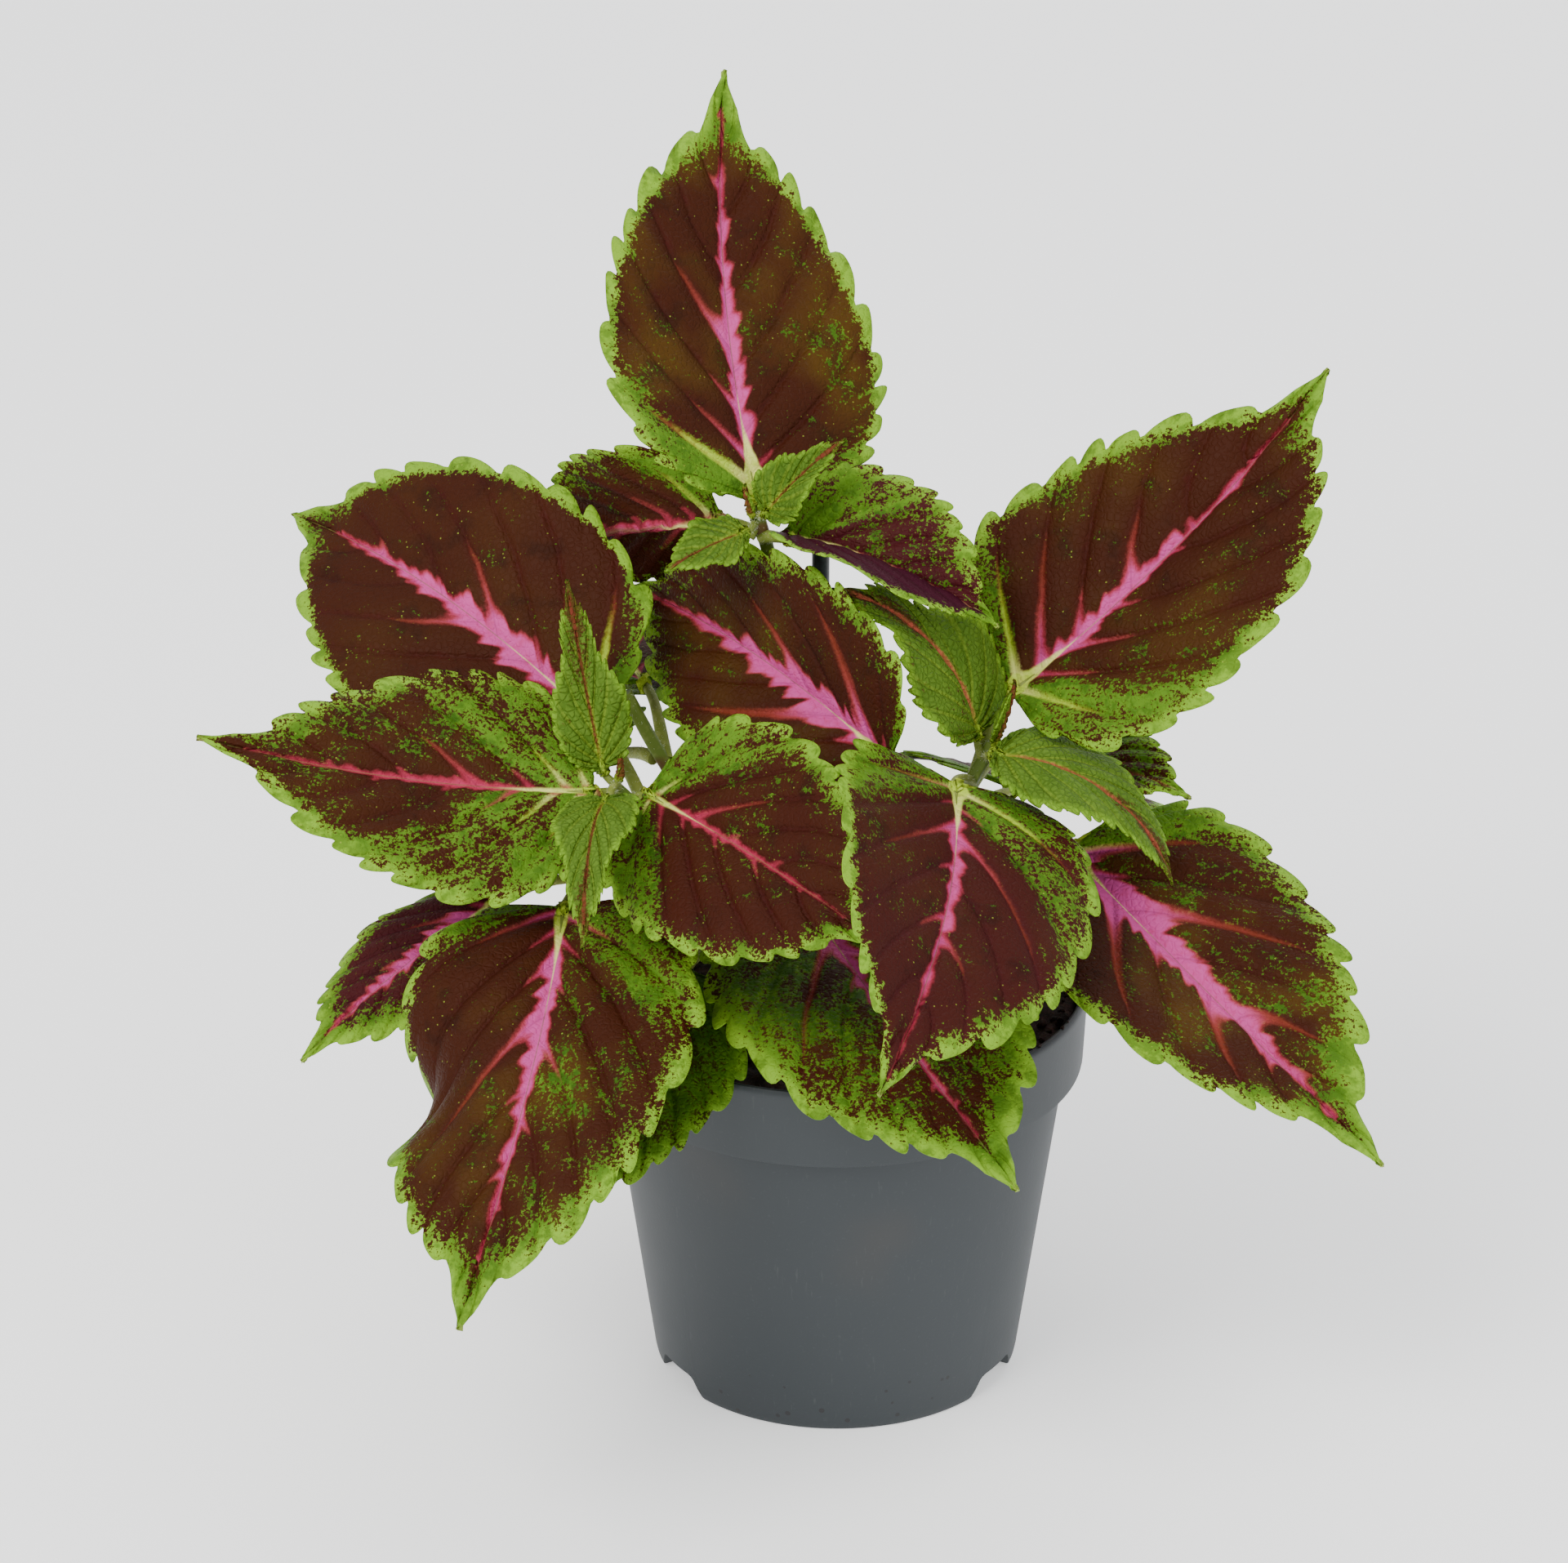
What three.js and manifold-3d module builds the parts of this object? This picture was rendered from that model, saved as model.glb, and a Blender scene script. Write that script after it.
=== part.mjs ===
// A coleus in its nursery pot: pot, soil, support stake, branching stem and toothed leaves.
// Millimetres, +Z up. Every place below is measured from the pot's axis at the floor, with -Y the
// front; the last lines move the whole to its origin, on the floor under the middle of the plant.
import * as THREE from 'three';
import { mergeVertices } from 'three/addons/utils/BufferGeometryUtils.js';
import Module from 'manifold-3d';

const wasm = await Module();
wasm.setup();

// ---------------------------------------------------------------- driving dimensions
const gap = 0.3;                 // air left between pieces that touch

const rimRadius = 60;            // a 12 cm nursery pot
const potHeight = 99;
const collarHeight = 20;         // plain band under the rim
const wallTopRadius = 55;        // wall just under the band
const wallFootRadius = 44;
const wallThickness = 1.4;
const footWidth = 3.4;           // standing ring
const floorRise = 6;             // raised floor inside the standing ring
const notchHeight = 5.4;
const notchHalfAngle = 12;       // degrees
const notchAngles = [-30, 90, 210];
const drainRadius = 4;
const drainCircle = 27;

const soilTop = 94.5;
const soilLumps = 1.5;

const stakePlace = [-4, 30];
const stakeRadius = 2.1;
const stakeTop = 206;
const stakeFoot = 34;

const stemFoot = 62;             // lowest end of the stem, down in the soil
const bladeThickness = 0.8;
const toothDepth = 0.022;        // share of the blade's length
const potAxis = [11.9, -4];      // pot axis, seen from the middle of the plant

// ---------------------------------------------------------------- solids from meshes
function solid(positions, triangles) {
  return new wasm.Manifold(new wasm.Mesh({
    numProp: 3,
    vertProperties: new Float32Array(positions.flat()),
    triVerts: new Uint32Array(triangles.flat()),
  }));
}

function solidOf(geometry) {
  const bare = geometry.clone();
  bare.deleteAttribute('normal');
  bare.deleteAttribute('uv');
  const merged = mergeVertices(bare, 1e-4);
  return new wasm.Manifold(new wasm.Mesh({
    numProp: 3,
    vertProperties: new Float32Array(merged.attributes.position.array),
    triVerts: new Uint32Array(merged.index.array),
  }));
}

// the one large body of a result, without the crumbs that a cut may leave
function mainBody(body) {
  return body.decompose().reduce((a, b) => (a.volume() > b.volume() ? a : b));
}

function geometryOf(body) {
  const mesh = body.getMesh();
  const geometry = new THREE.BufferGeometry();
  geometry.setAttribute('position', new THREE.BufferAttribute(mesh.vertProperties, 3));
  geometry.setIndex(new THREE.BufferAttribute(mesh.triVerts, 1));
  geometry.computeVertexNormals();
  return geometry;
}

const plant = new THREE.Group();

function addPiece(name, body, material) {
  const piece = new THREE.Mesh(geometryOf(body), material);
  piece.name = name;
  plant.add(piece);
}

const matte = (color, roughness) => new THREE.MeshStandardMaterial({ color, roughness, metalness: 0 });
const potPlastic = matte(0x5a6266, 0.55);
const stakePlastic = matte(0x10201c, 0.5);
const soilMatter = matte(0x1c100c, 1);
const stemGreen = matte(0x6f8a45, 0.6);
const leafMaroon = matte(0x55201a, 0.5);
const leafGreen = matte(0x5f9a2a, 0.5);

const degrees = THREE.MathUtils.degToRad;
const vector = (place) => new THREE.Vector3(...place);

// ---------------------------------------------------------------- pot
function turned(profile, segments) {
  const points = profile.map(([radius, height]) => new THREE.Vector2(radius, height));
  return solidOf(new THREE.LatheGeometry([...points, points[0].clone()], segments).rotateX(Math.PI / 2));
}

function wallRadiusAt(height) {
  return wallFootRadius + (wallTopRadius - wallFootRadius) * height / (potHeight - collarHeight);
}

function makePot() {
  const bandLow = potHeight - collarHeight;
  const inner = (height) => wallRadiusAt(height) - wallThickness;
  const shell = turned([
    [0, floorRise], [wallFootRadius - footWidth, floorRise], [wallFootRadius - footWidth, 0],
    [wallFootRadius - 0.6, 0], [wallFootRadius, 0.8],
    [wallTopRadius, bandLow], [rimRadius - 1, bandLow + 0.5],
    [rimRadius, potHeight - 1], [rimRadius - 0.6, potHeight], [rimRadius - 1.6, potHeight],
    [rimRadius - 2.2, bandLow + 2.2], [inner(bandLow), bandLow],
    [inner(floorRise + 3), floorRise + 3], [inner(floorRise) - 3, floorRise + wallThickness],
    [0, floorRise + wallThickness],
  ], 48);
  const drain = new THREE.CylinderGeometry(drainRadius, drainRadius, 8, 12).rotateX(Math.PI / 2);
  const drainAngles = [0, 60, 120, 180, 240, 300];
  let pot = shell;
  for (const angle of drainAngles) {
    const hole = drain.clone().translate(drainCircle, 0, floorRise).rotateZ(degrees(angle));
    pot = pot.subtract(solidOf(hole));
  }
  // three low gaps between the feet, with sloped and rounded cheeks
  const halfGap = wallFootRadius * Math.sin(degrees(notchHalfAngle));
  const cheek = new THREE.Shape();
  cheek.moveTo(-halfGap - 1, -1);
  cheek.lineTo(halfGap + 1, -1);
  cheek.quadraticCurveTo(halfGap - 1, notchHeight * 0.5, halfGap - 2, notchHeight * 0.8);
  cheek.quadraticCurveTo(halfGap - 2.6, notchHeight, halfGap - 4.5, notchHeight);
  cheek.lineTo(-halfGap + 4.5, notchHeight);
  cheek.quadraticCurveTo(-halfGap + 2.6, notchHeight, -halfGap + 2, notchHeight * 0.8);
  cheek.quadraticCurveTo(-halfGap + 1, notchHeight * 0.5, -halfGap - 1, -1);
  const notch = new THREE.ExtrudeGeometry(cheek, { depth: 20, bevelEnabled: false, curveSegments: 3 });
  notch.rotateX(Math.PI / 2).translate(0, wallFootRadius + 8, 0);
  for (const angle of notchAngles) {
    pot = pot.subtract(solidOf(notch.clone().rotateZ(degrees(angle - 90))));
  }
  return pot;
}

// ---------------------------------------------------------------- stems
// Each branch: the points that its axis follows, and its half thickness at both ends.
const branches = {
  main: { path: [[-1, 5, stemFoot], [-1, 6, 90], [-2, 10, 118], [-6, 20, 150], [-13, 24, 185],
    [-19, 21, 211]], half: [2.9, 1.5] },
  left: { path: [[-1, 6, 101], [-12, -3, 116], [-30, -12, 137], [-44, -16, 149], [-52.5, -17, 158]],
    half: [2.2, 1.3] },
  leftBack: { path: [[-2, 8, 105], [-15, 8, 119], [-30, 8, 135], [-42, 8, 154], [-50, 8, 170]],
    half: [2.0, 1.5] },
  right: { path: [[-1, 6, 103], [9, 0, 116], [20, -5, 131], [29, -6, 149], [36, -3, 162]],
    half: [2.3, 1.4] },
};

function axisOf(branch) {
  return new THREE.CatmullRomCurve3(branch.path.map(vector));
}

// a bar with a polygon section swept along a curve, its radius given at both ends
function bar(curve, steps, sides, radii, turn) {
  const frames = curve.computeFrenetFrames(steps, false);
  const positions = [];
  const triangles = [];
  for (let i = 0; i <= steps; i += 1) {
    const centre = curve.getPointAt(i / steps);
    const radius = THREE.MathUtils.lerp(radii[0], radii[1], i / steps);
    for (let k = 0; k < sides; k += 1) {
      const angle = turn + 2 * Math.PI * k / sides;
      const spot = centre.clone()
        .addScaledVector(frames.normals[i], radius * Math.cos(angle))
        .addScaledVector(frames.binormals[i], radius * Math.sin(angle));
      positions.push(spot.toArray());
    }
  }
  for (let i = 0; i < steps; i += 1) {
    for (let k = 0; k < sides; k += 1) {
      const here = i * sides + k;
      const next = i * sides + (k + 1) % sides;
      triangles.push([here, next, next + sides], [here, next + sides, here + sides]);
    }
  }
  for (let k = 1; k < sides - 1; k += 1) {
    const top = steps * sides;
    triangles.push([0, k + 1, k], [top, top + k, top + k + 1]);
  }
  return solid(positions, triangles);
}

function branchBar(branch, extra) {
  const corner = Math.SQRT2;
  const radii = branch.half.map((half) => (half + extra) * corner);
  return bar(axisOf(branch), branch.path.length * 2, 4, radii, Math.PI / 4);
}

function allBranches(extra) {
  return Object.values(branches).map((branch) => branchBar(branch, extra)).reduce((a, b) => a.add(b));
}

// ---------------------------------------------------------------- leaves
// Half of a blade's outline: along the midrib, and out from it, in shares of the length, for a
// blade whose half width is refHalf of its length.
const refHalf = 0.325;
const outline = new THREE.SplineCurve([
  [0, 0], [0, 0.3], [0.04, 0.62], [0.13, 0.88], [0.3, 1], [0.52, 0.88], [0.69, 0.64],
  [0.79, 0.4], [0.86, 0.21], [0.93, 0.1], [1, 0],
].map(([along, out]) => new THREE.Vector2(along, out * refHalf)));
const toothStart = 0.07;         // shares of the margin that carry the teeth
const toothEnd = 0.88;
const toothShape = [[0.38, 0.8], [0.74, 1]];   // place in a tooth, and height there
const veinSweep = 2.4;           // how far the side veins lean towards the tip
const ribSteps = 60;
const tuckPlace = 0.45;          // where a tucked edge turns under most, and over what length
const tuckSpread = 0.17;
const waistPlace = 0.62;          // where a young leaf draws in towards its tip
const waistSpread = 0.17;

const leafDefaults = {
  sway: 0, roll: 0, twist: 0, fold: [8, 8], curl: [14, 14], tuck: [0, 0], belly: [0, 0], waist: 0, teeth: 12,
  wave: 1.2, wavePhase: [0, 2], petiole: [1.5, 1.1], stalkSteps: 5,
  narrow: false, material: leafMaroon,
};

// Midrib of a leaf: place, direction, side and face normal at even steps.
function midribOf(leaf) {
  const rib = [];
  const place = vector(leaf.base);
  let last = null;
  for (let i = 0; i <= ribSteps; i += 1) {
    const share = i / ribSteps;
    const heading = degrees(leaf.heading + leaf.sway * share);
    const rise = degrees(leaf.rise - leaf.droop * share);
    const roll = degrees(leaf.roll + leaf.twist * share);
    const along = new THREE.Vector3(Math.cos(rise) * Math.cos(heading),
      Math.cos(rise) * Math.sin(heading), Math.sin(rise));
    const level = new THREE.Vector3(-Math.sin(heading), Math.cos(heading), 0);
    const up = along.clone().cross(level);
    const side = level.clone().multiplyScalar(Math.cos(roll)).addScaledVector(up, Math.sin(roll));
    const face = up.clone().multiplyScalar(Math.cos(roll)).addScaledVector(level, -Math.sin(roll));
    if (last) place.addScaledVector(along.clone().add(last).multiplyScalar(0.5), leaf.length / ribSteps);
    last = along;
    rib.push({ place: place.clone(), along, side, face });
  }
  return rib;
}

// Where a flat point of the blade goes: `along` the midrib and `out` to the left (+) or right (-).
function bentPoint(leaf, rib, along, out, lift) {
  const step = THREE.MathUtils.clamp(along / leaf.length, 0, 1) * ribSteps;
  const low = Math.min(Math.floor(step), ribSteps - 1);
  const mix = (key) => rib[low][key].clone().lerp(rib[low + 1][key], step - low);
  const isRight = out < 0 ? 1 : 0;
  const hand = out < 0 ? -1 : 1;
  const reach = Math.abs(out);
  const fold = degrees(leaf.fold[isRight]);
  const tuck = leaf.tuck[isRight] * Math.exp(-(((along / leaf.length - tuckPlace) / tuckSpread) ** 2));
  const bend = degrees(leaf.curl[isRight] + tuck || 0.01) / (leaf.width / 2);
  const slope = fold - bend * reach;
  const across = (Math.sin(fold) - Math.sin(slope)) / bend;
  const edge = reach / (leaf.width / 2);
  const ripple = leaf.wave * edge * edge
    * Math.sin(2 * Math.PI * 2.2 * along / leaf.length + leaf.wavePhase[isRight]);
  const rise = (Math.cos(slope) - Math.cos(fold)) / bend + ripple;
  const side = mix('side');
  const face = mix('face');
  const normal = out === 0 ? face.clone()
    : face.clone().multiplyScalar(Math.cos(slope)).addScaledVector(side, -hand * Math.sin(slope));
  return mix('place').addScaledVector(side, hand * across).addScaledVector(face, rise)
    .addScaledVector(mix('along'), along - THREE.MathUtils.clamp(along, 0, leaf.length))
    .addScaledVector(normal, lift);
}

// Flat margin point at a share of the margin's length: height 1 is a tooth's tip, 0 a notch, and
// the outline runs halfway between them.
function marginPoint(leaf, share, height, hand) {
  const spot = outline.getPointAt(share);
  spot.y *= 1 - leaf.waist * Math.exp(-(((spot.x - waistPlace) / waistSpread) ** 2));
  const way = outline.getTangentAt(share);
  const depth = toothDepth * (height - 0.5) * Math.min(1, 0.45 + 2.2 * share, 0.35 + 5 * (1 - share));
  const along = spot.x - way.y * depth + way.x * depth * 0.7;
  const out = spot.y + way.x * depth + way.y * depth * 0.7;
  const shift = leaf.belly[hand > 0 ? 0 : 1] * along * (1 - along) * THREE.MathUtils.clamp(along * 6, 0, 1);
  return [(along + shift) * leaf.length, Math.max(out, 0) / refHalf * leaf.width / 2];
}

// Blade and stalk as one closed body. The blade has a top and an under face split alike, and the
// stalk runs on from the blade's neck to the stem's axis.
function makeLeaf(options, cutter) {
  const leaf = { arch: 0.1, ...leafDefaults, ...options };
  const rib = midribOf(leaf);
  const neck = leaf.petiole[1];
  const rows = [0, toothStart * 0.5];
  for (let i = 0; i <= leaf.teeth; i += 1) {
    rows.push(toothStart + (toothEnd - toothStart) * i / leaf.teeth);
  }
  rows.push((toothEnd + 1) / 2, 1);
  const last = rows.length - 1;
  const flat = [];               // [along, out] of every vertex
  const faces = [];
  const put = (along, out) => flat.push([along, out]) - 1;
  const corners = [put(0, neck), put(0, -neck)];
  const tip = put(leaf.length, 0);
  const spine = rows.map((share, i) => {
    if (i === 0) return null;
    return i === last ? tip : put(leaf.length * share ** veinSweep, 0);
  });
  faces.push([corners[1], spine[1], corners[0]]);
  const edges = [1, -1].map((hand) => {
    const corner = hand > 0 ? corners[0] : corners[1];
    const face = (a, b, c) => {
      if (a !== b && b !== c && a !== c) faces.push(hand > 0 ? [a, b, c] : [a, c, b]);
    };
    let inner = corner;
    const margin = [corner];
    for (let i = 1; i <= last; i += 1) {
      const edge = [margin.at(-1)];
      if (i > 2 && i < last) {
        for (const [place, height] of toothShape) {
          const share = THREE.MathUtils.lerp(rows[i - 1], rows[i], place);
          const [along, out] = marginPoint(leaf, share, height, hand);
          edge.push(put(along, hand * out));
        }
      }
      let nextInner = tip;
      if (i < last) {
        const [along, out] = marginPoint(leaf, rows[i], i > 1 && i < last - 1 ? 0 : 0.5, hand);
        const foot = flat[spine[i]][0];
        edge.push(put(along, hand * out));
        nextInner = leaf.narrow ? spine[i] : put((foot + along) / 2, hand * out * 0.5);
      } else {
        edge.push(tip);
      }
      const before = spine[i - 1] ?? corner;
      if (!leaf.narrow) {
        face(before, spine[i], nextInner);
        face(before, nextInner, inner);
      }
      const half = Math.floor(edge.length / 2);
      for (let k = 0; k < edge.length - 1; k += 1) {
        face(k < half ? inner : nextInner, edge[k + 1], edge[k]);
      }
      face(inner, nextInner, edge[half]);
      inner = nextInner;
      margin.push(...edge.slice(1));
    }
    return margin;
  });
  const loop = [...edges[0], ...edges[1].slice(0, -1).reverse()];
  const count = flat.length;
  const under = (i) => (corners.includes(i) ? bladeThickness / 2 - 2 * neck : -bladeThickness / 2);
  const positions = [
    ...flat.map(([along, out]) => bentPoint(leaf, rib, along, out, bladeThickness / 2).toArray()),
    ...flat.map(([along, out], i) => bentPoint(leaf, rib, along, out, under(i)).toArray()),
  ];
  const triangles = faces.flatMap(([a, b, c]) => [[a, b, c], [a + count, c + count, b + count]]);
  for (let i = 0; i < loop.length - 1; i += 1) {
    const [here, next] = [loop[i], loop[i + 1]];
    triangles.push([here, next, here + count], [next, next + count, here + count]);
  }
  // the stalk: square rings from the neck down to the stem
  const { place, along, side, face: up } = rib[0];
  const end = place.clone().addScaledVector(up, bladeThickness / 2 - neck);
  const start = vector(leaf.node);
  const reach = start.distanceTo(end);
  const leave = start.clone().lerp(end, 0.35);
  leave.z += reach * leaf.arch;
  const meet = end.clone().addScaledVector(along, -reach * 0.35);
  const stalk = new THREE.CubicBezierCurve3(end, meet, leave, start);
  let ring = [corners[0], corners[1], corners[1] + count, corners[0] + count];
  const across = side.clone();
  for (let i = 1; i <= leaf.stalkSteps; i += 1) {
    const centre = stalk.getPointAt(i / leaf.stalkSteps);
    const way = stalk.getTangentAt(i / leaf.stalkSteps);
    across.addScaledVector(way, -across.dot(way)).normalize();
    const above = across.clone().cross(way);
    const half = THREE.MathUtils.lerp(neck, leaf.petiole[0], i / leaf.stalkSteps);
    const nextRing = [[1, 1], [-1, 1], [-1, -1], [1, -1]].map(([a, b]) => positions.push(
      centre.clone().addScaledVector(across, a * half).addScaledVector(above, b * half).toArray()) - 1);
    for (let k = 0; k < 4; k += 1) {
      const m = (k + 1) % 4;
      triangles.push([ring[m], ring[k], nextRing[k]], [ring[m], nextRing[k], nextRing[m]]);
    }
    ring = nextRing;
  }
  triangles.push([ring[0], ring[3], ring[2]], [ring[0], ring[2], ring[1]]);
  const body = solid(positions, triangles);
  return cutter ? mainBody(body.subtract(cutter)) : body;
}

// Large and middle leaves. node: point on the stem's axis that the stalk leaves; base: where the
// blade starts; heading, rise: the midrib's direction there (degrees; heading 0 is +X, 90 the back);
// droop, sway: how far it turns down and sideways by the tip; roll, twist: its lean about the
// midrib; fold, curl: how the left and right halves stand up and bend over; tuck: extra bend.
const leaves = {
  leaf_top_tall: { node: [-19, 21, 208.5], base: [-19, 25, 212], heading: 107, rise: 46, droop: 4,
    sway: -22, roll: 12, length: 113, width: 70, fold: [18, 14], curl: [10, 11], belly: [-0.2, -0.2], teeth: 12 },
  leaf_top_left: { node: [-19, 21, 205], base: [-27.9, 25, 207.2], heading: 154, rise: -12, droop: 19,
    sway: -23, roll: 60, length: 61, width: 43.8, fold: [20, 3], curl: [11, -10], belly: [0.11, 0.35],
    teeth: 10 },
  leaf_top_right: { node: [-18, 21.5, 204], base: [-12.1, 16.7, 206.2], heading: -27, rise: 3,
    droop: 34, roll: 16, length: 56.4, width: 43.2, fold: [31, 38], curl: [14, -5], teeth: 10,
    twist: 16, sway: 5, belly: [0, 0.25] },
  leaf_top_young_right: { node: [-18.7, 21, 209.4], base: [-16.8, 14.6, 213.1], heading: -12, rise: 54,
    droop: 15, roll: 54, length: 27.6, width: 16.4, fold: [16, 19], teeth: 8, petiole: [0.9, 0.6],
    material: leafGreen, narrow: true, curl: [10, 6], waist: 0.42 },
  leaf_top_young_left: { node: [-19.4, 20.6, 208], base: [-22, 14.2, 208.2], heading: 200, rise: -11,
    droop: 18, roll: -10, length: 21, width: 17.5, fold: [9, 17], teeth: 8, petiole: [0.9, 0.6],
    material: leafGreen, narrow: true, sway: 3, curl: [13, 14], waist: 0 },
  leaf_middle_back: { node: [27, -5.5, 145], base: [12, -20.5, 165], heading: 135, rise: 22, droop: 27,
    sway: -8, roll: -56, twist: 4, length: 96, width: 56, fold: [13, 34], curl: [16, 13], belly: [0.14, 0.14] },
  leaf_left_long: { node: [-49.5, -16.7, 154.5], base: [-57, -19, 157], heading: 181, rise: 1,
    droop: -14, sway: -4, roll: -32, length: 93, width: 61, fold: [7, 9], curl: [18, 14],
    belly: [-0.22, -0.12], teeth: 12 },
  leaf_centre_left: { node: [-48, -16.5, 153], base: [-44, -21, 157], heading: -52, rise: 1, droop: 11,
    sway: 3, roll: 35, twist: 7, length: 84, width: 57, fold: [15, 9], curl: [7, 15], belly: [0.22, 0.22] },
  leaf_left_young_up: { node: [-50.5, -16.8, 155.6], base: [-55, -14.7, 161], heading: 121, rise: 65,
    droop: -9, roll: -23, length: 45, width: 18.4, fold: [15, 8], teeth: 8, material: leafGreen,
    narrow: true, petiole: [1, 0.8], twist: 1, curl: [14, 14], waist: 0.41 },
  leaf_left_young_down: { node: [-51.2, -17, 157], base: [-53.9, -27.2, 158.3], heading: -99, rise: 17,
    droop: 72, sway: 8, roll: 6, length: 51.5, width: 19.5, fold: [12, 12], curl: [10, 12], teeth: 8,
    material: leafGreen, narrow: true, petiole: [1, 0.8], waist: 0.35, arch: 0.35 },
  leaf_front_left: { node: [-30, -12, 137], base: [-64, -30, 132], heading: -94, rise: -18, droop: 29,
    sway: -19, roll: 5, length: 113, width: 74, fold: [13, 9], curl: [14, 20], belly: [0.2, 0.2], teeth: 12,
    tuck: [0, 70] },
  leaf_upper_left: { node: [-44, -16, 149], base: [-58, 4, 165], heading: 147, rise: 33, droop: 40,
    sway: -19, roll: -38, length: 106, width: 72, fold: [9, 17], curl: [19, 10], belly: [0.12, 0.12], teeth: 12 },
  leaf_low_left: { node: [-12, -3, 116], base: [-80, -4, 122], heading: 215, rise: -16, droop: 20,
    roll: 2, twist: -7, length: 62, width: 40, fold: [-3, 8], curl: [19, 20], teeth: 10 },
  leaf_under_left: { node: [-1, 6, 99], base: [-36, -30, 116], heading: -118, rise: -23, droop: 13,
    roll: -10, length: 75, width: 49, fold: [6, 10], curl: [16, 16], belly: [0.07, 0.07], teeth: 10 },
  leaf_right_tall: { node: [32, -4.7, 154.5], base: [40.7, 8.7, 169.8], heading: 13, rise: 36,
    droop: -14, roll: 25, length: 106.5, width: 75.8, fold: [16, 9], curl: [10, 10], teeth: 12,
    belly: [-0.25, 0.2], twist: 3, sway: 9 },
  leaf_right_young_left: { node: [33.6, -4.1, 157.4], base: [32.3, -3.9, 165.1], heading: 169, rise: 80,
    droop: 70, sway: 5, length: 51.5, width: 33.7, fold: [33, -6], curl: [26, 13], teeth: 8,
    material: leafGreen, narrow: true, petiole: [1, 0.8], roll: -39, belly: [0.35, 0.1], twist: -1,
    waist: 0.55 },
  leaf_right_young_right: { node: [34.3, -3.8, 158.6], base: [36.7, -11.2, 162.6], heading: -16,
    rise: 6, droop: 80, roll: 12, length: 55.5, width: 31.6, fold: [4, 18], curl: [26, 29], teeth: 8,
    material: leafGreen, narrow: true, petiole: [1, 0.8], twist: 3, sway: 3, waist: 0.37,
    belly: [0.15, 0.1] },
  leaf_front_centre: { node: [31, -5.5, 153], base: [27.1, -19.8, 158.5], heading: -88, rise: -8,
    droop: 15, sway: -26, roll: -20, twist: -20, length: 106.6, width: 70.3, fold: [11, 13],
    curl: [21, -10], teeth: 12, belly: [-0.1, -0.05] },
  leaf_right_long: { node: [20, -5, 131], base: [54, -2, 134], heading: -48, rise: -23, droop: -1,
    roll: 4, length: 113, width: 74, fold: [23, 10], curl: [14, 3], belly: [-0.06, -0.15], teeth: 12 },
  leaf_right_behind: { node: [29.8, -5.7, 150.2], base: [42, 17, 149.4], heading: -30, rise: 14,
    droop: 23, sway: -11, roll: 14, length: 50, width: 32, fold: [10, 11], curl: [16, 16], teeth: 10 },
  leaf_over_pot: { node: [-1, 6, 100], base: [-8, -14, 127], heading: -67, rise: -11, droop: 13,
    sway: 12, roll: 5, twist: 9, length: 104, width: 70, fold: [8, 6], curl: [16, 14], belly: [0.06, 0.06] },
  leaf_back_right: { node: [24, -5.4, 139], base: [42, 28, 136], heading: 78, rise: -22, droop: 12,
    roll: 6, length: 98, width: 64, fold: [10, 8], teeth: 10 },
  leaf_back_centre: { node: [-9, 22, 160], base: [-15, 44, 150], heading: 104, rise: 0, droop: 30,
    roll: -4, length: 92, width: 60, fold: [9, 12], teeth: 10 },
  leaf_back_left: { node: [-40.5, 8, 152.5], base: [-46, 32, 162], heading: 110, rise: 2, droop: 28,
    roll: -6, length: 90, width: 58, fold: [10, 8], teeth: 10 },
  leaf_back_low_left: { node: [-43.5, 8, 153], base: [-57, 27, 147], heading: 140, rise: -4, droop: 30,
    roll: 4, length: 92, width: 60, fold: [8, 10], teeth: 10 },
  leaf_back_low_right: { node: [9, 0, 116], base: [14, 34, 112], heading: 78, rise: -8, droop: 28,
    roll: -5, length: 94, width: 62, fold: [10, 8], teeth: 10 },
  leaf_back_low_centre: { node: [-1, 6, 101], base: [-10, 40, 118], heading: 98, rise: -8, droop: 34,
    roll: 5, length: 96, width: 62, fold: [8, 10], teeth: 10 },
};

// Youngest leaflets, still folded round the growing points and one body with the stem.
const leaflets = [
  { node: [-19, 21, 208], base: [-20.3, 20.2, 210.4], heading: 200, rise: 66, length: 8 },
  { node: [-19, 21, 208], base: [-17.7, 21.5, 210.5], heading: 25, rise: 68, length: 9 },
  { node: [-52, -17, 157], base: [-51, -16.2, 158.9], heading: 10, rise: 76, length: 6 },
  { node: [35.6, -3.2, 160], base: [36.8, -3.6, 162.4], heading: -5, rise: 64, length: 17 },
];
const leafletShape = { ...leafDefaults, droop: -20, fold: [35, 35], curl: [10, 10], teeth: 2, wave: 0,
  petiole: [0.7, 0.5], stalkSteps: 1, narrow: true };

function makeStems() {
  const tips = leaflets.map((leaflet) => (
    makeLeaf({ ...leafletShape, ...leaflet, width: leaflet.length * 0.42 }, null)));
  return mainBody(tips.reduce((stems, tip) => stems.add(tip), allBranches(0)));
}

// ---------------------------------------------------------------- soil and stake
function lumpHeight(x, y) {
  return soilLumps * (Math.sin(x * 0.31 + 1.3) * Math.cos(y * 0.27 - 0.4)
    + 0.6 * Math.sin(x * 0.53 + y * 0.61) + 0.3 * Math.cos(x * 0.9 - y * 1.1)) / 1.4;
}

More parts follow.
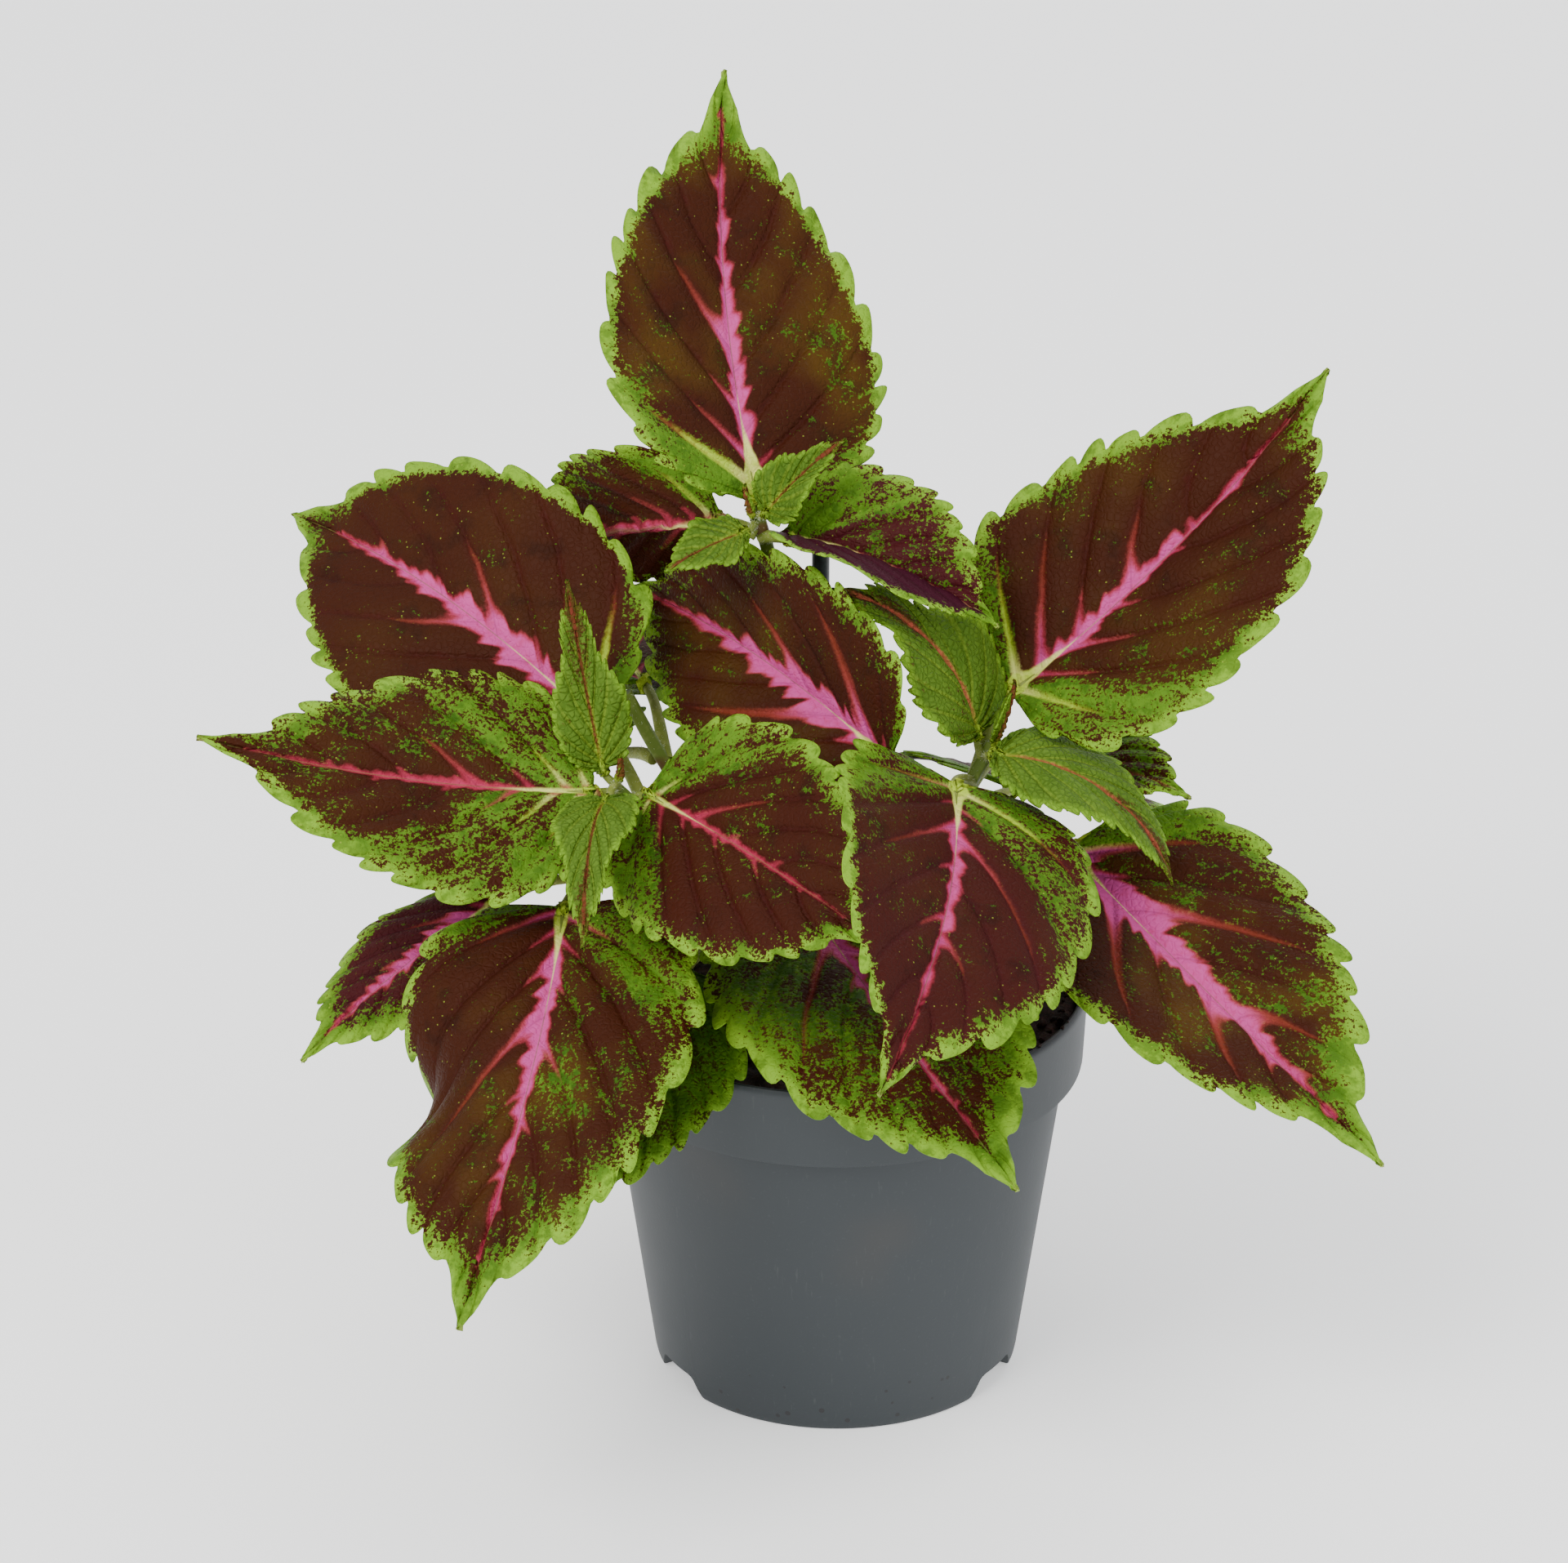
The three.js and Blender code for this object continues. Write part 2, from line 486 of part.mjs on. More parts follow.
function makeSoil() {
  const bandLow = potHeight - collarHeight;
  const innerRadius = (height) => (height > bandLow + 2.6 ? rimRadius - 2.6 - gap
    : wallRadiusAt(Math.min(height, bandLow)) - wallThickness - gap);
  const floorTop = floorRise + wallThickness + gap;
  const around = 30;
  const rings = [0.25, 0.5, 0.75, 1];
  const body = [[innerRadius(floorRise) - 3.4, floorTop], [innerRadius(floorRise + 3.4), floorTop + 2.6],
    [innerRadius(bandLow - 1), bandLow - 1], [innerRadius(bandLow - 1) + 0.2, bandLow + 3.2],
    [rimRadius - 2.9, bandLow + 5]];
  const positions = [[0, 0, floorTop], [0, 0, soilTop + lumpHeight(0, 0)]];
  const triangles = [];
  const levels = [...body.map(([radius, height]) => [radius, height, false]),
    ...rings.toReversed().map((share) => [(rimRadius - 2.9) * share, soilTop, true])];
  levels.forEach(([radius, height, lumpy], level) => {
    for (let k = 0; k < around; k += 1) {
      const angle = 2 * Math.PI * k / around;
      const x = radius * Math.cos(angle);
      const y = radius * Math.sin(angle);
      positions.push([x, y, height + (lumpy ? lumpHeight(x, y) : 0)]);
      const here = 2 + level * around + k;
      const next = 2 + level * around + (k + 1) % around;
      if (level === 0) triangles.push([0, next, here]);
      else triangles.push([here - around, next - around, next], [here - around, next, here]);
      if (level === levels.length - 1) triangles.push([here, next, 1]);
    }
  });
  return solid(positions, triangles);
}

function stakeBody(extra) {
  const radius = stakeRadius + extra;
  const profile = [[0, stakeFoot - extra], [0.8 + extra, stakeFoot - extra], [radius, stakeFoot + 9],
    [radius, stakeTop - 1.2], [radius - 0.7, stakeTop - 0.2], [0, stakeTop]];
  const points = profile.map(([r, height]) => new THREE.Vector2(r, height));
  const lathe = new THREE.LatheGeometry([...points, points[0].clone()], 10);
  return solidOf(lathe.rotateX(Math.PI / 2).translate(stakePlace[0], stakePlace[1], 0));
}

// ---------------------------------------------------------------- assembly
const pot = makePot();
addPiece('pot', pot, potPlastic);
const stemCutter = allBranches(gap);
addPiece('soil', makeSoil().subtract(stemCutter).subtract(stakeBody(gap)), soilMatter);
addPiece('stake', stakeBody(0), stakePlastic);
addPiece('stems', makeStems(), stemGreen);
for (const [name, options] of Object.entries(leaves)) {
  addPiece(name, makeLeaf(options, stemCutter), options.material ?? leafMaroon);
}
plant.position.set(potAxis[0], potAxis[1], 0);

const coleus = new THREE.Group();
coleus.add(plant);
export default coleus;
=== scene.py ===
# Coleus in its nursery pot: camera and light, leaves, stems, pot, compost and stake.
# Sizes are in millimetres from the pot's axis at the floor, and Blender's own are in metres.
import bpy
import math
import random
import numpy as np
from mathutils import Matrix, Vector, noise


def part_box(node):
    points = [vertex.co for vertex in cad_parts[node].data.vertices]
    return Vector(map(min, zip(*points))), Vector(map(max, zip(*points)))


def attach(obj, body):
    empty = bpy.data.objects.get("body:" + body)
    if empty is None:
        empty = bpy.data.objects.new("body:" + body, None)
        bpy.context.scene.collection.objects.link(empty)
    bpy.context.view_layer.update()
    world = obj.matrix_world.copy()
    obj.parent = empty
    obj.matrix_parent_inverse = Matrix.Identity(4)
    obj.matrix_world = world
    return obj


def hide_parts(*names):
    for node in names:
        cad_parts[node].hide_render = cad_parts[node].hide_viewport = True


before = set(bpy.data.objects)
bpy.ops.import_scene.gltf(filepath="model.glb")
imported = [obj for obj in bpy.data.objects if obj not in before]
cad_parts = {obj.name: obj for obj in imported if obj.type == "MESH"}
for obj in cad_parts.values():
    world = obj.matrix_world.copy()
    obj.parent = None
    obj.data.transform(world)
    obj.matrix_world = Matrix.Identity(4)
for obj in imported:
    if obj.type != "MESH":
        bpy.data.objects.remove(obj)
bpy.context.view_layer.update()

mm = 0.001
potLow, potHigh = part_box("pot")
potAxis = Vector(((potLow.x + potHigh.x) / 2, (potLow.y + potHigh.y) / 2, 0))


def placed(point):
    # millimetres from the pot's axis to metres in the frame
    return potAxis + Vector(point) * mm


def deselectAll():
    if bpy.context.mode != "OBJECT":
        bpy.ops.object.mode_set(mode="OBJECT")
    bpy.ops.object.select_all(action="DESELECT")


def pick(*objects):
    deselectAll()
    for obj in objects:
        obj.select_set(True)
    bpy.context.view_layer.objects.active = objects[0]


def linked(name, data):
    obj = bpy.data.objects.new(name, data)
    bpy.context.collection.objects.link(obj)
    return obj


def added(name):
    # the object that an operator has just made
    bpy.context.object.name = name
    return bpy.context.object


def dress(obj, *paints):
    obj.data.materials.clear()
    for paint in paints:
        obj.data.materials.append(paint)


def editAll(obj, *steps):
    # edit mode steps, each on the whole mesh
    pick(obj)
    bpy.ops.object.mode_set(mode="EDIT")
    for step in steps:
        bpy.ops.mesh.select_all(action="SELECT")
        step()
    bpy.ops.object.mode_set(mode="OBJECT")


def faceOutwards():
    bpy.ops.mesh.normals_make_consistent(inside=False)


def joined(*objects):
    pick(*objects)
    bpy.ops.object.join()
    return bpy.context.object


def smooth(obj, angle):
    # round to the eye but for edges sharper than the angle
    pick(obj)
    bpy.ops.object.shade_smooth_by_angle(angle=math.radians(angle))


def built(name, points, edges, faces):
    mesh = bpy.data.meshes.new(name)
    mesh.from_pydata(points, edges, faces)
    return linked(name, mesh)


def onCircle(radius, angle):
    return radius * math.cos(angle), radius * math.sin(angle)


def addCurve(name, pointCount):
    deselectAll()
    bpy.ops.curve.primitive_bezier_curve_add()
    curve = added(name)
    curve.data.use_fill_caps = True
    points = curve.data.splines[0].bezier_points
    points.add(pointCount - 2)
    return curve, points


def meshed(curve):
    pick(curve)
    bpy.ops.object.convert(target="MESH")
    return bpy.context.object


def modify(obj, kind, **settings):
    pick(obj)
    modifier = obj.modifiers.new(kind.lower(), kind)
    for key, value in settings.items():
        setattr(modifier, key, value)
    bpy.ops.object.modifier_apply(modifier=modifier.name)


# ---- camera, floor and light

view = dict(target=(-12.7, 0, 150.7), distance=1.5, elevation=25, lens=146.25, sensor=36, clip=(0.05, 50))
studio = dict(floorSize=8, floorColour=(0.93, 0.93, 0.925, 1), floorGlow=0.5, sky=(0.95, 0.965, 1, 1),
              aim=(0, 0, 0.14))
lamps = dict(
    key=dict(place=(-0.9, -1.1, 1.7), size=1.1, power=44, colour=(1.0, 0.98, 0.95)),
    fill=dict(place=(1.5, -0.9, 0.9), size=1.6, power=14, colour=(0.95, 0.98, 1.0)),
    back=dict(place=(0.3, 1.5, 1.5), size=1.4, power=16, colour=(1.0, 1.0, 1.0)),
)


def addCamera():
    tilt = math.radians(view["elevation"])
    data = bpy.data.cameras.new("camera")
    data.sensor_width, data.sensor_fit, data.lens = view["sensor"], "HORIZONTAL", view["lens"]
    data.clip_start, data.clip_end = view["clip"]
    camera = linked("camera", data)
    away = Vector((0, -math.cos(tilt), math.sin(tilt))) * view["distance"]
    camera.location = placed(view["target"]) + away
    camera.rotation_euler = (math.pi / 2 - tilt, 0, 0)
    bpy.context.scene.camera = camera


def addStudio():
    deselectAll()
    bpy.ops.mesh.primitive_plane_add(size=studio["floorSize"])
    floor = added("studioFloor")
    dress(floor, worn("studioFloor", lambda paint: paint.principled(studio["floorColour"], 0.9, more={
        "Emission Color": (1, 1, 1, 1), "Emission Strength": studio["floorGlow"]})))
    world = bpy.data.worlds.new("studioSky")
    bpy.context.scene.world = world
    world.use_nodes = True
    world.node_tree.nodes["Background"].inputs["Color"].default_value = studio["sky"]
    for name, lamp in lamps.items():
        data = bpy.data.lights.new(name + "Light", "AREA")
        data.size, data.energy, data.color = lamp["size"], lamp["power"], lamp["colour"]
        light = linked(name + "Light", data)
        light.location = lamp["place"]
        light.rotation_euler = (Vector(studio["aim"]) - light.location).to_track_quat("-Z", "Y").to_euler()


# ---- shader nodes as expressions

class Value:
    # a socket that can stand in an expression
    def __init__(self, paint, socket):
        self.paint, self.socket = paint, socket

    def maths(self, operation, *others):
        return self.paint.maths(operation, self, *others)

    def __add__(self, other): return self.maths("ADD", other)
    def __sub__(self, other): return self.maths("SUBTRACT", other)
    def __mul__(self, other): return self.maths("MULTIPLY", other)
    def __truediv__(self, other): return self.maths("DIVIDE", other)
    def __pow__(self, other): return self.maths("POWER", other)
    def __lt__(self, other): return self.maths("LESS_THAN", other)
    def __gt__(self, other): return self.maths("GREATER_THAN", other)
    def __rsub__(self, other): return self.paint.maths("SUBTRACT", other, self)
    __radd__, __rmul__ = __add__, __mul__


class Paint:
    # a material that is written as expressions on its nodes
    def __init__(self, name):
        self.material = bpy.data.materials.new(name)
        self.material.use_nodes = True
        self.tree = self.material.node_tree
        self.tree.nodes.clear()

    def node(self, kind, settings=None, inputs=None, output=0):
        made = self.tree.nodes.new(kind)
        for key, value in (settings or {}).items():
            if key == "stops":
                made.color_ramp.interpolation = "CONSTANT"
                while len(made.color_ramp.elements) < len(value):
                    made.color_ramp.elements.new(0.5)
                for element, (place, grey) in zip(made.color_ramp.elements, value):
                    element.position, element.color = place, (grey, grey, grey, 1)
            else:
                setattr(made, key, value)
        for key, value in (inputs or {}).items():
            if isinstance(value, Value):
                self.tree.links.new(value.socket, made.inputs[key])
            else:
                made.inputs[key].default_value = value
        return None if output is None else Value(self, made.outputs[output])

    def maths(self, operation, *terms):
        return self.node("ShaderNodeMath", {"operation": operation}, dict(enumerate(terms)))

    def mix(self, share, one, two):
        one, two = [c if isinstance(c, Value) else (*c, 1) for c in (one, two)]
        return self.node("ShaderNodeMix", {"data_type": "RGBA"}, {0: share, 6: one, 7: two}, output=2)

    def fade(self, value, low, high):
        # 0 below low and 1 above high, smooth between
        return self.node("ShaderNodeMapRange", {"interpolation_type": "SMOOTHSTEP"},
                         {"Value": value, "From Min": low, "From Max": high})

    def fall(self, value, low, high):
        # the other way round: 1 below low and 0 above high
        return 1 - self.fade(value, low, high)

    def place(self):
        return self.node("ShaderNodeTexCoord", output="Object")

    def away(self, place, spot):
        return self.node("ShaderNodeVectorMath", {"operation": "DISTANCE"},
                         {0: place, 1: tuple(placed(spot))}, output="Value")

    def grain(self, place, scale, detail=2.0, roughness=0.5):
        return self.node("ShaderNodeTexNoise", inputs={"Vector": place, "Scale": scale, "Detail": detail,
                                                       "Roughness": roughness})

    def cells(self, place, scale, randomness=1.0, feature="F1"):
        return self.node("ShaderNodeTexVoronoi", {"feature": feature},
                         {"Vector": place, "Scale": scale, "Randomness": randomness})

    def apart(self, vector):
        x = self.node("ShaderNodeSeparateXYZ", inputs={0: vector})
        return x, *(Value(self, x.socket.node.outputs[i]) for i in (1, 2))

    def together(self, x, y, z=0.0):
        return self.node("ShaderNodeCombineXYZ", inputs={0: x, 1: y, 2: z})

    def uv(self, name):
        return self.apart(self.node("ShaderNodeUVMap", {"uv_map": name}))[:2]

    def edgeGap(self):
        return self.node("ShaderNodeAttribute", {"attribute_name": "edgeGap"}, output="Fac")

    def principled(self, skin, roughness, specular=0.5, bump=None, more={}):
        # bump: its height, strength and distance
        inputs = {"Base Color": skin, "Roughness": roughness, "Specular IOR Level": specular, **more}
        if bump:
            inputs["Normal"] = self.node("ShaderNodeBump", inputs=dict(
                zip(("Height", "Strength", "Distance"), bump)))
        shader = self.node("ShaderNodeBsdfPrincipled", inputs=inputs)
        self.node("ShaderNodeOutputMaterial", inputs={"Surface": shader}, output=None)


materials = {}


def worn(name, write, *details):
    # a material, made once and worn by every piece that asks for it
    if name not in materials:
        paint = Paint(name)
        write(paint, *details)
        materials[name] = paint.material
    return materials[name]


def colour(red, green, blue):
    # display values from 0 to 255 as the linear ones that a shader takes
    return tuple((c / 255 / 12.92) if c <= 10 else ((c / 255 + 0.055) / 1.055) ** 2.4
                 for c in (red, green, blue))


# ---- leaves: one outline and one bent surface, as in the frame's own leaves

leafForm = dict(
    refHalf=0.325, toothDepth=0.034, toothStart=0.07, toothEnd=0.88, toothTop=0.68, toothRound=0.6,
    veinSweep=(4.0, 1.8), tuckPlace=0.45, tuckSpread=0.17, waistPlace=0.62, waistSpread=0.17, waves=2.2,
    ribSteps=60,
    outline=((0, 0), (0, 0.3), (0.04, 0.62), (0.13, 0.88), (0.3, 1), (0.52, 0.88), (0.69, 0.64),
             (0.79, 0.4), (0.86, 0.21), (0.93, 0.1), (1, 0)),
)
leafColumns = ("node", "base", "heading", "rise", "droop", "roll", "length", "width")
leafUsual = dict(sway=0, twist=0, fold=(8, 8), curl=(14, 14), tuck=(0, 0), belly=(0, 0), waist=0,
                 teeth=10, wave=1.2, wavePhase=(0, 2), petiole=(1.5, 1.1), arch=0.1, veinCount=7.5,
                 veinRise=2.0, veinShift=0.1, veinStagger=0.35, puff=1)
youngUsual = dict(veinCount=8.4, veinRise=1.0)
leafMesh = dict(rowsPerTooth=12, columns=16, spread=1.25, blade=0.5, edge=0.36, veinBow=0.11, puff=1.15,
                groove=0.5, vein=0.45, unevenPace=1.19, unevenHand=1.3, unevenWidth=0.27, unevenDepth=0.3)

# Each row has the leafColumns, then what isn't as in leafUsual. node: the point on a stem that the stalk
# leaves; base: where the blade starts; heading, rise: the midrib's direction there; droop, sway: its
# turn down and sideways by the tip; roll, twist: its lean; fold, curl: how the left and right halves
# stand up and bend over; tuck: extra bend of an edge; belly, waist: how far the outline is pushed to
# the tip and drawn in; puff: share of the usual quilting.
leaves = {
    "leaf_top_tall": ((-19, 21, 208.5), (-19, 25, 212), 107, 46, 4, 12, 113, 70,
        dict(sway=-22, fold=(18, 14), curl=(10, 11), belly=(-0.2, -0.2))),
    "leaf_top_left": ((-19, 21, 205), (-27.9, 25, 207.2), 154, -12, 19, 60, 61, 43.8,
        dict(sway=-23, fold=(20, 3), curl=(11, -10), belly=(0.11, 0.35))),
    "leaf_top_right": ((-18, 21.5, 204), (-12.1, 16.7, 206.2), -27, 3, 34, 16, 56.4, 43.2,
        dict(fold=(31, 38), curl=(14, -5), twist=16, sway=5, belly=(0, 0.25))),
    "leaf_top_young_right": ((-18.7, 21, 209.4), (-16.8, 14.6, 213.1), -12, 54, 15, 54, 27.6, 16.4,
        dict(fold=(16, 19), teeth=12, petiole=(0.9, 0.6), curl=(10, 6), waist=0.42)),
    "leaf_top_young_left": ((-19.4, 20.6, 208), (-22, 14.2, 208.2), 200, -11, 18, -10, 21, 17.5,
        dict(fold=(9, 17), teeth=12, petiole=(0.9, 0.6), sway=3, curl=(13, 14))),
    "leaf_middle_back": ((27, -5.5, 145), (12, -20.5, 165), 135, 22, 27, -56, 96, 56,
        dict(sway=-8, twist=4, fold=(13, 34), curl=(16, 13), belly=(0.14, 0.14), puff=0.4)),
    "leaf_left_long": ((-49.5, -16.7, 154.5), (-57, -19, 157), 181, 1, -14, -32, 93, 61,
        dict(sway=-4, fold=(7, 9), curl=(18, 14), belly=(-0.22, -0.12))),
    "leaf_centre_left": ((-48, -16.5, 153), (-44, -21, 157), -52, 1, 11, 35, 84, 57,
        dict(sway=3, twist=7, fold=(15, 9), curl=(7, 15), belly=(0.22, 0.22))),
    "leaf_left_young_up": ((-50.5, -16.8, 155.6), (-55, -14.7, 161), 121, 65, -9, -23, 45, 18.4,
        dict(fold=(15, 8), teeth=14, petiole=(1, 0.8), twist=1, waist=0.41)),
    "leaf_left_young_down": ((-51.2, -17, 157), (-53.9, -27.2, 158.3), -99, 17, 72, 6, 51.5, 19.5,
        dict(sway=8, fold=(12, 12), curl=(10, 12), teeth=14, petiole=(1, 0.8), waist=0.35, arch=0.35)),
    "leaf_front_left": ((-30, -12, 137), (-64, -30, 132), -94, -18, 29, 5, 113, 74,
        dict(sway=-19, fold=(13, 9), curl=(14, 20), belly=(0.2, 0.2), tuck=(0, 70))),
    "leaf_upper_left": ((-44, -16, 149), (-58, 4, 165), 147, 33, 40, -38, 106, 72,
        dict(sway=-19, fold=(9, 17), curl=(19, 10), belly=(0.12, 0.12), puff=0.55)),
    "leaf_low_left": ((-12, -3, 116), (-80, -4, 122), 215, -16, 20, 2, 62, 40,
        dict(twist=-7, fold=(-3, 8), curl=(19, 20))),
    "leaf_under_left": ((-1, 6, 99), (-36, -30, 116), -118, -23, 13, -10, 75, 49,
        dict(fold=(6, 10), curl=(16, 16), belly=(0.07, 0.07))),
    "leaf_right_tall": ((32, -4.7, 154.5), (40.7, 8.7, 169.8), 13, 36, -14, 25, 106.5, 75.8,
        dict(fold=(16, 9), curl=(10, 10), belly=(-0.25, 0.2), twist=3, sway=9)),
    "leaf_right_young_left": ((33.6, -4.1, 157.4), (32.3, -3.9, 165.1), 169, 80, 70, -39, 51.5, 33.7,
        dict(sway=5, fold=(33, -6), curl=(26, 13), teeth=15, petiole=(1, 0.8), belly=(0.35, 0.1), twist=-1,
             waist=0.55)),
    "leaf_right_young_right": ((34.3, -3.8, 158.6), (36.7, -11.2, 162.6), -16, 6, 80, 12, 55.5, 31.6,
        dict(fold=(4, 18), curl=(26, 29), teeth=16, petiole=(1, 0.8), twist=3, sway=3, waist=0.37,
             belly=(0.15, 0.1))),
    "leaf_front_centre": ((31, -5.5, 153), (27.1, -19.8, 158.5), -88, -8, 15, -20, 106.6, 70.3,
        dict(sway=-26, twist=-20, fold=(11, 13), curl=(21, -10), belly=(-0.1, -0.05))),
    "leaf_right_long": ((20, -5, 131), (54, -2, 134), -48, -23, -1, 4, 113, 74,
        dict(fold=(23, 10), curl=(14, 3), belly=(-0.06, -0.15))),
    "leaf_right_behind": ((29.8, -5.7, 150.2), (42, 17, 149.4), -30, 14, 23, 14, 50, 32,
        dict(sway=-11, fold=(10, 11), curl=(16, 16))),
    "leaf_over_pot": ((-1, 6, 100), (-8, -14, 127), -67, -11, 13, 5, 104, 70,
        dict(sway=12, twist=9, fold=(8, 6), curl=(16, 14), belly=(0.06, 0.06))),
    "leaf_back_right": ((24, -5.4, 139), (42, 28, 136), 78, -22, 12, 6, 98, 64,
        dict(fold=(10, 8), puff=0.65)),
    "leaf_back_centre": ((-9, 22, 160), (-15, 44, 150), 104, 0, 30, -4, 92, 60,
        dict(fold=(9, 12), puff=0.65)),
    "leaf_back_left": ((-40.5, 8, 152.5), (-46, 32, 162), 110, 2, 28, -6, 90, 58,
        dict(fold=(10, 8), puff=0.65)),
    "leaf_back_low_left": ((-43.5, 8, 153), (-57, 27, 147), 140, -4, 30, 4, 92, 60,
        dict(fold=(8, 10), puff=0.65)),
    "leaf_back_low_right": ((9, 0, 116), (14, 34, 112), 78, -8, 28, -5, 94, 62,
        dict(fold=(10, 8), puff=0.65)),
    "leaf_back_low_centre": ((-1, 6, 101), (-10, 40, 118), 98, -8, 34, 5, 96, 62,
        dict(fold=(8, 10), puff=0.65)),
}


def splineAt(points, places):
    # smooth curve through points, places from 0 to 1
    points = np.array(points, float)
    last = len(points) - 1
    spot = np.clip(places, 0, 1) * last
    i = np.minimum(spot.astype(int), last - 1)
    w = (spot - i)[:, None]
    a, b = points[np.maximum(i - 1, 0)], points[i]
    c, d = points[i + 1], points[np.minimum(i + 2, last)]
    out, into = (c - a) / 2, (d - b) / 2
    return (2 * b - 2 * c + out + into) * w ** 3 + (3 * c - 3 * b - 2 * out - into) * w ** 2 + out * w + b


marginFine = splineAt([(x, y * leafForm["refHalf"]) for x, y in leafForm["outline"]],
                      np.linspace(0, 1, 2001))
marginSteps = np.hypot(*np.diff(marginFine, axis=0).T)
marginShare = np.concatenate([[0], np.cumsum(marginSteps)]) / marginSteps.sum()


def toothHeight(share, teeth):
    # 1 on a rounded tooth, 0 in the notches, and 0.5 where the margin has no teeth
    start, end, top = leafForm["toothStart"], leafForm["toothEnd"], leafForm["toothTop"]
    place = (share - start) / (end - start) * teeth
    inTooth = place - np.floor(place)
    lean = np.where(inTooth < top, inTooth / top * 0.5, 0.5 + (inTooth - top) / (1 - top) * 0.5)
    tooth = np.sin(np.pi * lean) ** leafForm["toothRound"]
    toothless = 0.5 * np.clip(np.maximum((start - share) / start * 2, (share - end) / (1 - end) * 2), 0, 1)
    return np.where((place > 0) & (place < teeth), tooth, toothless)


def marginAt(leaf, share, height, hand):
    # flat margin point in millimetres: along the midrib, and out from it
    spot, ahead, behind = (np.stack([np.interp(share + step, marginShare, marginFine[:, k]) for k in (0, 1)])
                           for step in (0, 0.002, -0.002))
    fromWaist = (spot[0] - leafForm["waistPlace"]) / leafForm["waistSpread"]
    spot[1] *= 1 - leaf["waist"] * np.exp(-fromWaist ** 2)
    way = (ahead - behind) / np.hypot(*(ahead - behind))
    ease = np.minimum(1, np.minimum(0.45 + 2.2 * share, 0.35 + 5 * (1 - share)))
    depth = leafForm["toothDepth"] * (height - 0.5) * ease
    along = spot[0] - way[1] * depth + way[0] * depth * 0.7
    out = spot[1] + way[0] * depth + way[1] * depth * 0.7
    belly = np.where(hand > 0, *leaf["belly"])
    along = along + belly * along * (1 - along) * np.clip(along * 6, 0, 1)
    return along * leaf["length"], np.maximum(out, 0) / leafForm["refHalf"] * leaf["width"] / 2


def sideVeins(leaf, share, reach, isRight):
    # a count that is whole on each side vein, and how many millimetres it takes to rise by one;
    # the mesh and the paint both use it
    bowed = share + reach * (1 - reach) * leafMesh["veinBow"]
    vein = bowed ** leaf["veinRise"] * leaf["veinCount"] - leaf["veinShift"] + isRight * leaf["veinStagger"]
    pitch = (share ** 3 * 2.3 * (1 - reach) + reach * 0.8 + 0.03) * leaf["length"]
    density = (bowed + 0.02) ** (leaf["veinRise"] - 1) * (leaf["veinCount"] * leaf["veinRise"])
    return vein, pitch / density


def midribOf(leaf):
    share = np.linspace(0, 1, leafForm["ribSteps"] + 1)
    heading = np.radians(leaf["heading"] + leaf["sway"] * share)
    rise = np.radians(leaf["rise"] - leaf["droop"] * share)
    roll = np.radians(leaf["roll"] + leaf["twist"] * share)[:, None]
    along = np.stack([np.cos(rise) * np.cos(heading), np.cos(rise) * np.sin(heading), np.sin(rise)], 1)
    level = np.stack([-np.sin(heading), np.cos(heading), 0 * heading], 1)
    up = np.cross(along, level)
    side = level * np.cos(roll) + up * np.sin(roll)
    face = up * np.cos(roll) - level * np.sin(roll)
    steps = (along[1:] + along[:-1]) / 2 * leaf["length"] / leafForm["ribSteps"]
    place = np.array(leaf["base"], float) + np.concatenate([[[0, 0, 0]], np.cumsum(steps, axis=0)])
    return dict(place=place, along=along, side=side, face=face)


def bentPoints(leaf, rib, along, out, lift):
    # where flat points of the blade go, lifted off its middle surface
    length, half = leaf["length"], leaf["width"] / 2
    step = np.clip(along / length, 0, 1) * leafForm["ribSteps"]
    low = np.minimum(step.astype(int), leafForm["ribSteps"] - 1)
    share = (step - low)[:, None]
    place, way, side, face = (rib[key][low] * (1 - share) + rib[key][low + 1] * share
                              for key in ("place", "along", "side", "face"))
    isRight = out < 0
    hand = np.where(isRight, -1, 1)[:, None]
    pickSide = lambda pair: np.where(isRight, pair[1], pair[0])
    reach = np.abs(out)
    fold = np.radians(pickSide(leaf["fold"]))
    nearTuck = np.exp(-((along / length - leafForm["tuckPlace"]) / leafForm["tuckSpread"]) ** 2)
    bend = np.radians(pickSide(leaf["curl"]) + pickSide(leaf["tuck"]) * nearTuck + 0.01) / half
    slope = fold - bend * reach
    across = (np.sin(fold) - np.sin(slope)) / bend
    ripple = leaf["wave"] * (reach / half) ** 2 * np.sin(
        2 * np.pi * leafForm["waves"] * along / length + pickSide(leaf["wavePhase"]))
    rise = (np.cos(slope) - np.cos(fold)) / bend + ripple
    normal = face * np.cos(slope)[:, None] - hand * side * np.sin(slope)[:, None]
    beyond = (along - np.clip(along, 0, length))[:, None]
    return (place + side * hand * across[:, None] + face * rise[:, None] + way * beyond
            + normal * np.asarray(lift)[:, None])


